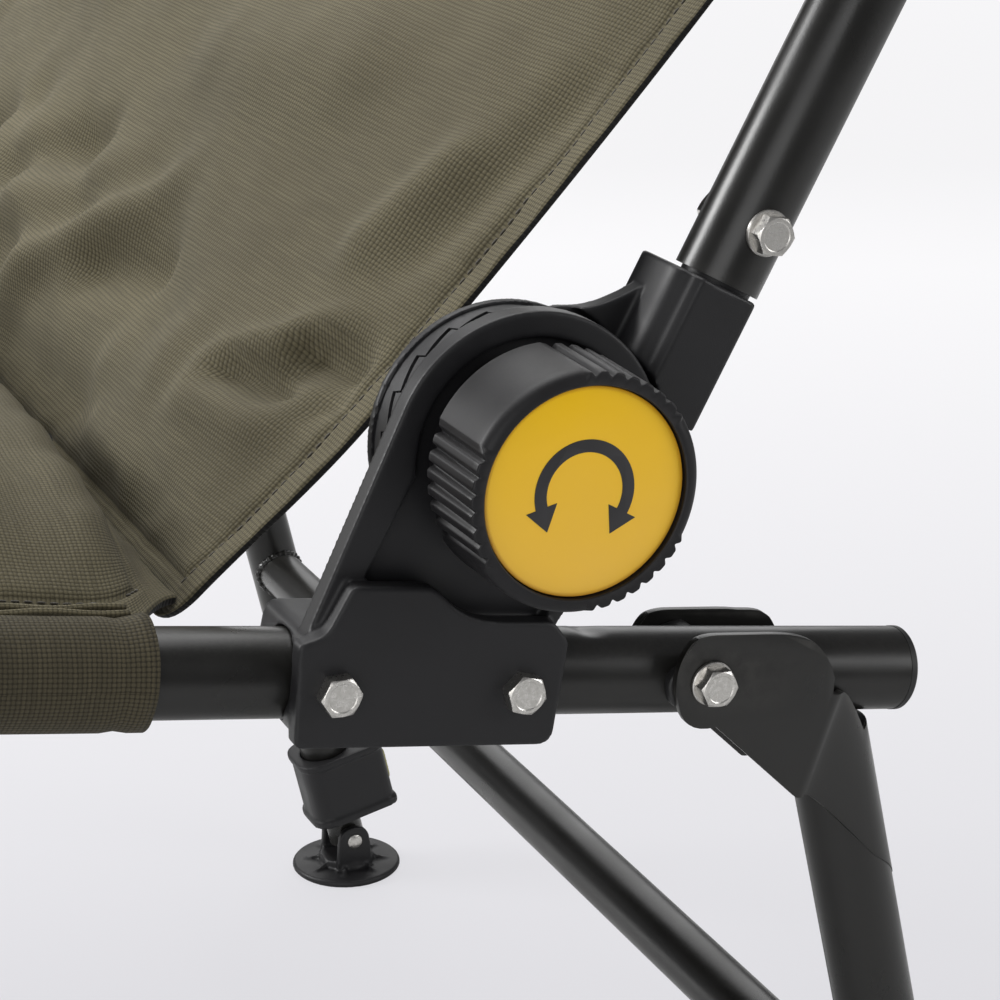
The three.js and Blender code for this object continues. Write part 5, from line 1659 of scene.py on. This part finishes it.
def swell(pad, mesh):
    """Cloth simulation that fills the pad, held at its hem, then capped."""
    thing = holder(mesh)
    pins = thing.vertex_groups.new(name="sewn")
    for vertex in mesh.vertices:
        weight = 1 - smooth_step(pad.edge_distance(*pad.flats[vertex.index]), HEM_WIDTH, HEM_WIDTH * 3)
        if weight > 0:
            pins.add([vertex.index], weight, "REPLACE")
    modifier = thing.modifiers.new("fill", "CLOTH")
    modifier.settings.effector_weights.gravity = 0.0
    for name, value in SWELL_SETTINGS.items():
        setattr(modifier.settings, name, value)
    modifier.point_cache.frame_start = 1
    modifier.point_cache.frame_end = SWELL_FRAMES
    scene = bpy.context.scene
    for number in range(1, SWELL_FRAMES + 1):
        scene.frame_set(number)
    filled = thing.evaluated_get(bpy.context.evaluated_depsgraph_get()).to_mesh()
    places = [vertex.co.copy() for vertex in filled.vertices]
    thing.evaluated_get(bpy.context.evaluated_depsgraph_get()).to_mesh_clear()
    bpy.data.objects.remove(thing)
    scene.frame_set(1)
    for vertex, there in zip(mesh.vertices, places):
        way = there - vertex.co
        if way.length > SWELL_CAP:
            way *= SWELL_CAP / way.length
        vertex.co += way


def flat_places(mesh):
    """For every vertex its place (u, v) on the flat cloth and whether it lies on the front sheet."""
    layer = mesh.uv_layers["cloth"].data
    places = [None] * len(mesh.vertices)
    for polygon in mesh.polygons:
        front = polygon.material_index == 0
        for loop in polygon.loop_indices:
            number = mesh.loops[loop].vertex_index
            if front or places[number] is None:
                u, v = layer[loop].uv
                places[number] = (u, v, front)
    return places


def wrinkle(u, v, sizes):
    """Soft noise on the flat cloth; sizes are across, along, the slant's run and which noise."""
    across, along, slant, layer = sizes
    return noise.noise(Vector((u / across, v / along + (u / slant if slant else 0.0), layer)))


def crumple(pad, mesh, folds, broad, fine):
    """Adds the listed folds, soft uneven wrinkles and the hem's sewn groove."""
    mesh.update()
    normals = [vertex.normal.copy() for vertex in mesh.vertices]
    for vertex, (u, v, front) in zip(mesh.vertices, flat_places(mesh)):
        edge = pad.edge_distance(u, v)
        inside = smooth_step(edge, HEM_WIDTH, HEM_WIDTH * 3)
        if front:
            lift = sum(height * fold_share((u, v), start, end, width)
                       for start, end, width, height in folds)
            lift += (broad * wrinkle(u, v, BROAD_SIZES) + fine * wrinkle(u, v, FINE_SIZES)) * inside
            lift += HEM_PUCKER * wrinkle(u, v, PUCKER_SIZES) * (1 - inside)
            lift -= HEM_GROOVE * exp(-((edge - HEM_WIDTH) / HEM_GROOVE_WIDTH) ** 2)
        else:
            lift = broad * wrinkle(u, v, REAR_SIZES) * inside / 2
        vertex.co += normals[vertex.index] * lift


def fold_share(point, start, end, width):
    """How near a place on the flat cloth is to the line of a fold, from 0 to 1, tapering at its ends."""
    a = Vector(start)
    way = Vector(end) - a
    off = Vector(point) - a
    share = off.dot(way) / way.length_squared
    outside, inside = FOLD_TAPER_SHARES
    taper = smooth_step(share, -outside, inside) * (1 - smooth_step(share, 1 - inside, 1 + outside))
    if taper <= 0:
        return 0.0
    away = (off - way * share).length / width
    return taper * exp(-away * away)


def back_middle(s):
    hang = max(0.0, 1 - (s - HANG_FOOT) / BACK_HANG_LENGTH)
    return BACK_PLANE - BACK_HANG * hang ** HANG_POWER


BACK_LENGTH = BACK_HEIGHT - MAT_END_GAP - BACK_BOTTOM
SEAT_LENGTH = FRONT_BAR - MAT_END_GAP + SEAT_REAR
MAT_WIDTH = 2 * PAD_HALF_WIDTH


def back_surface(u, v, face):
    """The back pad from its lower edge, v = 0, to the top bar."""
    s = BACK_BOTTOM + v
    held = smooth_step(s, SLEEVE_BACK[0] - MAT_NARROWING * 3, SLEEVE_BACK[0])
    inset = MAT_NARROWING * (1 - held) + corner_inset(v, CORNER_RADIUS)
    inset += TOE_NARROWING * (1 - smooth_step(s, BACK_BOTTOM, TOE_START))
    inset += corner_inset(BACK_LENGTH - v, FRAME_BEND)
    across = 2 * u / MAT_WIDTH - 1
    from_side = min(u, MAT_WIDTH - u)
    x = (PAD_HALF_WIDTH - inset) * across
    edge = max(0.0, min(from_side, v, BACK_LENGTH - v) - HEM_WIDTH)
    along = 2 * v / BACK_LENGTH - 1
    full = crown(across) * crown(along, BACK_END_POWER) * sqrt(smooth_step(edge, 0.0, PAD_SLOPE))
    thick = HEM_THICKNESS / 2
    depth = -(thick + BACK_CROWN_FRONT * full) if face > 0 else thick + BACK_CROWN_REAR * full
    return Vector((x, back_middle(s) + depth, s))


def seat_surface(u, v, face):
    """The seat pad from its rear edge, v = 0, to the front bar."""
    y = SEAT_REAR - v
    in_sleeve = smooth_step(y, SLEEVE_SEAT[0], SLEEVE_SEAT[0] + MAT_NARROWING * 2)
    leave = smooth_step(y, SLEEVE_SEAT[1] - HEM_WIDTH / 3, SEAT_REAR)
    inset = MAT_NARROWING * (1 - in_sleeve) + SEAT_REAR_NARROWING * leave
    inset += corner_inset(SEAT_LENGTH - v, FRAME_BEND)
    across = 2 * u / MAT_WIDTH - 1
    from_side = min(u, MAT_WIDTH - u)
    x = (PAD_HALF_WIDTH - inset) * across
    along = 2 * v / SEAT_LENGTH - 1
    edge = min(from_side, SEAT_LENGTH - v)
    full = crown(across) * crown(along, SEAT_END_POWER) * sqrt(smooth_step(edge, 0.0, PAD_SLOPE))
    full *= sqrt(smooth_step(v, 0.0, SEAT_REAR_ROUNDING))
    thick = HEM_THICKNESS / 2
    rise = thick + SEAT_CROWN * full if face > 0 else -(thick + SEAT_SAG * full)
    return Vector((x, y, TUBE_RADIUS / 2 + rise))


def sleeve_mesh(start, end, hem_at_start, to_pad):
    """Cloth sleeve round a tube along Z, with its hem stitch grooves; to_pad is where the pad leaves it."""
    count = max(2, round((end - start) / SLEEVE_STEP))
    turns = around(SLEEVE_SIDES)
    rings = []
    for row in range(count + 1):
        z = start + (end - start) * row / count
        from_ends = [z - start, end - z] if hem_at_start else [end - z]
        ring = []
        for turn in turns:
            radius = SLEEVE_RADIUS
            radius += noise.noise(Vector((z / SLACK_SIZE, 2.0 * cos(turn), 2.0 * sin(turn)))) * SLEEVE_SLACK
            toward = cos(turn - to_pad)
            for distance in from_ends:
                radius -= SLEEVE_GROOVE * exp(-((distance - SLEEVE_HEM) / SLEEVE_GROOVE_WIDTH) ** 2)
                radius += SLEEVE_FLARE * exp(-distance / SLEEVE_FLARE_LENGTH) * max(0.0, -toward)
            radius += SLEEVE_PULL * max(0.0, toward) ** 8
            ring.append((radius * cos(turn), radius * sin(turn), z))
        rings.append(ring)
    inner = SLEEVE_RADIUS - HEM_THICKNESS
    rings += [[(inner * cos(turn), inner * sin(turn), z) for turn in turns] for z in (end, start)]
    mesh = bpy.data.meshes.new("sleeve")
    faces = ring_faces(len(rings), SLEEVE_SIDES, looped=True)
    mesh.from_pydata([point for ring in rings for point in ring], [], faces)
    layer = mesh.uv_layers.new(name="cloth")
    for polygon in mesh.polygons:
        # Painted shade: the sleeve's faces take the darker copy of the mat's cloth
        polygon.material_index = SHADED_SLEEVE_SLOT
        columns = [mesh.loops[i].vertex_index % SLEEVE_SIDES for i in polygon.loop_indices]
        wraps = min(columns) == 0 and max(columns) == SLEEVE_SIDES - 1
        for loop_index, column in zip(polygon.loop_indices, columns):
            turn = turns[column] + (2 * pi if wraps and column == 0 else 0.0)
            z = mesh.vertices[mesh.loops[loop_index].vertex_index].co.z
            layer.data[loop_index].uv = (turn * SLEEVE_RADIUS, z)
    mesh.materials.append(SHADED_SLEEVE_FINISH)
    outward(mesh)
    return mesh


def bar_sleeve(y, z):
    """Sleeve round the straight bar between the bends."""
    half = HALF_SPAN - FRAME_BEND - MAT_NARROWING
    return moved(sleeve_mesh(-half, half, True, pi), shift(0, y, z) @ rotation(QUARTER, "Y"))


def ridge_mesh(points):
    """Raised sewn ridge along a route, as cloth."""
    rings = []
    flats = []
    travelled = 0.0
    for index, point in enumerate(points):
        ahead = points[min(index + 1, len(points) - 1)] - points[max(index - 1, 0)]
        side = ahead.cross(Vector((0, 0, 1))).normalized()
        up = side.cross(ahead).normalized()
        if index:
            travelled += (point - points[index - 1]).length
        rings.append([point + (side * cos(turn) + up * sin(turn)) * RIDGE_RADIUS
                      for turn in around(RIDGE_SIDES)])
        flats += [(column * RIDGE_RADIUS, travelled) for column in range(RIDGE_SIDES)]
    mesh = loft(rings)
    lay_flat(mesh, flats)
    mesh.materials.append(CLOTH_FINISH)
    return mesh


def sew(routes):
    """Stitches along routes, as one piece of thread."""
    values = {"Pitch": STITCH_PITCH, "Length": STITCH_LENGTH, "Thread Radius": STITCH_RADIUS,
              "Finish": THREAD_FINISH}
    whole = joined([grown(STITCH_TREE, route_mesh(route), values) for route in routes])
    whole.materials.append(THREAD_FINISH)
    return whole


def hem_routes(pad, mesh):
    """Routes over the finished front face, a hem's width in from its two long sides."""
    def key(u, v):
        return round(u, PLACE_DIGITS), round(v, PLACE_DIGITS)

    at_place = {}
    for vertex, (u, v, front) in zip(mesh.vertices, flat_places(mesh)):
        if front:
            at_place[key(u, v)] = vertex
    inset = HEM_STATION_SHARES.index(1.0)
    routes = []
    for u in (pad.across[-1 - inset], pad.across[inset]):
        found = [at_place.get(key(u, v)) for v in pad.along[inset:-inset]]
        routes.append([vertex.co + vertex.normal * STITCH_RADIUS for vertex in found if vertex])
    return routes


def mirrored_folds(folds):
    """The same folds on the other side, a little different."""
    first, second, flatter = MIRROR_SHARES
    return [((MAT_WIDTH - a[0], a[1] * first), (MAT_WIDTH - b[0], b[1] * second), width, height * flatter)
            for a, b, width, height in folds]


def made_pad(length, surface, folds, broad, fine):
    """A pad filled and crumpled, with the stitches down its two sides."""
    pad = Pad(MAT_WIDTH, length, surface)
    mesh = pad.mesh()
    outward(mesh)
    swell(pad, mesh)
    mesh = modified(mesh, CLOTH_SUBDIVISION)
    crumple(pad, mesh, folds, broad, fine)
    mesh.update()
    return mesh, sew(hem_routes(pad, mesh))


def with_finishes(parts):
    whole = joined(parts)
    for material in MAT_FINISHES:
        whole.materials.append(material)
    return whole


def back_mat():
    pad, stitches = made_pad(BACK_LENGTH, back_surface, [*BACK_FOLDS, *mirrored_folds(BACK_FOLDS)],
                             BACK_BROAD, BACK_FINE)
    sleeve = sleeve_mesh(*SLEEVE_BACK, True, pi)
    parts = [pad]
    for _, side in SIDES:
        parts.append(moved(sleeve, place(shift(y=BACK_TUBE_OFFSET), side)))
    parts.append(bar_sleeve(BACK_TUBE_OFFSET, BACK_HEIGHT))
    whole = with_finishes(parts)
    whole.transform(BACK)
    stitches.transform(BACK)
    finish_cloth("back_mat_cloth", whole, "back_mat")
    finish_cloth("back_mat_stitches", stitches)


def finish_cloth(name, mesh, node=None):
    """Places cloth or stitches in the scene as they are, hiding the node they stand for if there is one."""
    mesh.name = name
    mesh.shade_smooth()
    piece = bpy.data.objects.new(name, mesh)
    bpy.context.scene.collection.objects.link(piece)
    if node:
        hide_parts(node)
    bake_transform(piece)


def seat_ridges(side):
    """Two raised seams along the inner side of a sleeve."""
    start, end = SLEEVE_SEAT
    places = [start + step * RIDGE_STEP for step in range(int((end - start) / RIDGE_STEP) + 1)]
    ridges = []
    for inset in RIDGE_INSETS:
        waves = [sin(y * RIDGE_WAVE_TURN - inset * RIDGE_WAVE_SHIFT) for y in places]
        ridges.append(ridge_mesh([Vector((side * (HALF_SPAN - inset), y, RIDGE_HEIGHT + RIDGE_WAVE * wave))
                                  for y, wave in zip(places, waves)]))
    return ridges


def seat_mat():
    pad, stitches = made_pad(SEAT_LENGTH, seat_surface, SEAT_FOLDS, SEAT_BROAD, SEAT_FINE)
    sleeve = moved(sleeve_mesh(*SLEEVE_SEAT, False, SEAT_SLEEVE_TURN), rotation(-QUARTER))
    parts = [pad]
    for _, side in SIDES:
        parts.append(moved(sleeve, place(shift(), side)))
        parts += seat_ridges(side)
    parts.append(bar_sleeve(-FRONT_BAR, 0))
    whole = moved(with_finishes(parts), SEAT)
    piece = fit("seat_mat_cloth", whole, CLOTH_FINISH, "fabric", ["seat_mat"], sharp=0)
    fit("seat_mat_stitches", moved(stitches, SEAT), THREAD_FINISH, "fabric", [], body="seat", sharp=0)


# Pieces kept from the frame as they are, with a finish of their own
def dress_kept_nodes():
    for name, _ in SIDES:
        for node in (f"hub_spring_{name}", f"knob_insert_{name}"):
            thing = frame["nodes"][node]
            thing.data.materials.clear()
            thing.data.materials.append(STEEL_FINISH)


# Studio
def floor_finish():
    """Pale floor: glowing white to the camera, with painted shade that darkens it near the set, calmer in
    reflections.
    """
    material = bpy.data.materials.new("pale_floor")
    material.use_nodes = True
    tree = material.node_tree
    shader = tree.nodes["Principled BSDF"]
    shader.inputs["Base Color"].default_value = (*FLOOR_BOUNCE, 1)
    shader.inputs["Roughness"].default_value = FLOOR_ROUGHNESS
    ends = {0: object_place(tree), 1: FLOOR_CENTRE}
    away = add_node(tree, "ShaderNodeVectorMath", ends, operation="DISTANCE").outputs["Value"]
    # Painted shade: the glow is darker near the set
    seen = blend_color(tree, ramp(tree, away, FLOOR_NEAR, FLOOR_FAR), (*FLOOR_PAINTED_SHADE, 1), (*FLOOR_WHITE, 1))
    strength = ramp(tree, away, FLOOR_FAR, FLOOR_SIZE / 2, 1 - FLOOR_SHADOW_SHARE, 1.0)
    glow = add_node(tree, "ShaderNodeEmission", {"Color": seen, "Strength": strength})
    darker = blend_color(tree, FLOOR_SHADOW_SHARE, (0, 0, 0, 1), seen)
    matt = add_node(tree, "ShaderNodeBsdfDiffuse", {"Color": darker})
    lit = add_node(tree, "ShaderNodeAddShader", {0: glow.outputs[0], 1: matt.outputs[0]})
    direct = add_node(tree, "ShaderNodeLightPath").outputs["Is Camera Ray"]
    mixed = add_node(tree, "ShaderNodeMixShader", {0: direct, 1: shader.outputs[0], 2: lit.outputs[0]})
    tree.links.new(mixed.outputs[0], tree.nodes["Material Output"].inputs["Surface"])
    return material


def floor_and_light():
    floor = bpy.data.meshes.new("floor")
    half = FLOOR_SIZE / 2
    corners = [(-half, -half, 0), (half, -half, 0), (half, half, 0), (-half, half, 0)]
    floor.from_pydata(corners, [], [(0, 1, 2, 3)])
    floor.materials.append(floor_finish())
    ground = bpy.data.objects.new("studio_floor", floor)
    bpy.context.scene.collection.objects.link(ground)
    world = bpy.data.worlds.new("studio")
    bpy.context.scene.world = world
    world.use_nodes = True
    tree = world.node_tree
    background = tree.nodes["Background"]
    direct = add_node(tree, "ShaderNodeLightPath").outputs["Is Camera Ray"]
    seen = blend_color(tree, direct, (*ROOM_TONE, 1), (*FLOOR_WHITE, 1))
    tree.links.new(seen, background.inputs["Color"])
    for name, spot, target, size, power in LAMPS:
        lamp = bpy.data.lights.new(name, "AREA")
        lamp.size = size
        lamp.energy = power
        thing = bpy.data.objects.new(name, lamp)
        way = Vector(target) - Vector(spot)
        thing.matrix_world = Matrix.Translation(spot) @ way.to_track_quat("-Z", "Y").to_matrix().to_4x4()
        bpy.context.scene.collection.objects.link(thing)


def camera():
    lens = bpy.data.cameras.new("camera")
    lens.lens = CAMERA_LENS
    lens.sensor_width = CAMERA_SENSOR
    lens.sensor_fit = "HORIZONTAL"
    thing = bpy.data.objects.new("camera", lens)
    thing.location = CAMERA_PLACE
    thing.rotation_euler = (CAMERA_TILT, 0.0, CAMERA_HEADING)
    bpy.context.scene.collection.objects.link(thing)
    bpy.context.scene.camera = thing


camera()
floor_and_light()
seat_frame()
rail_end_caps()
backrest_frame()
hinge_bases()
sockets()
knobs()
all_fasteners()
leg_frames()
leg_ends()
seat_mat()
back_mat()
dress_kept_nodes()
bpy.context.scene.view_settings.view_transform = "Standard"
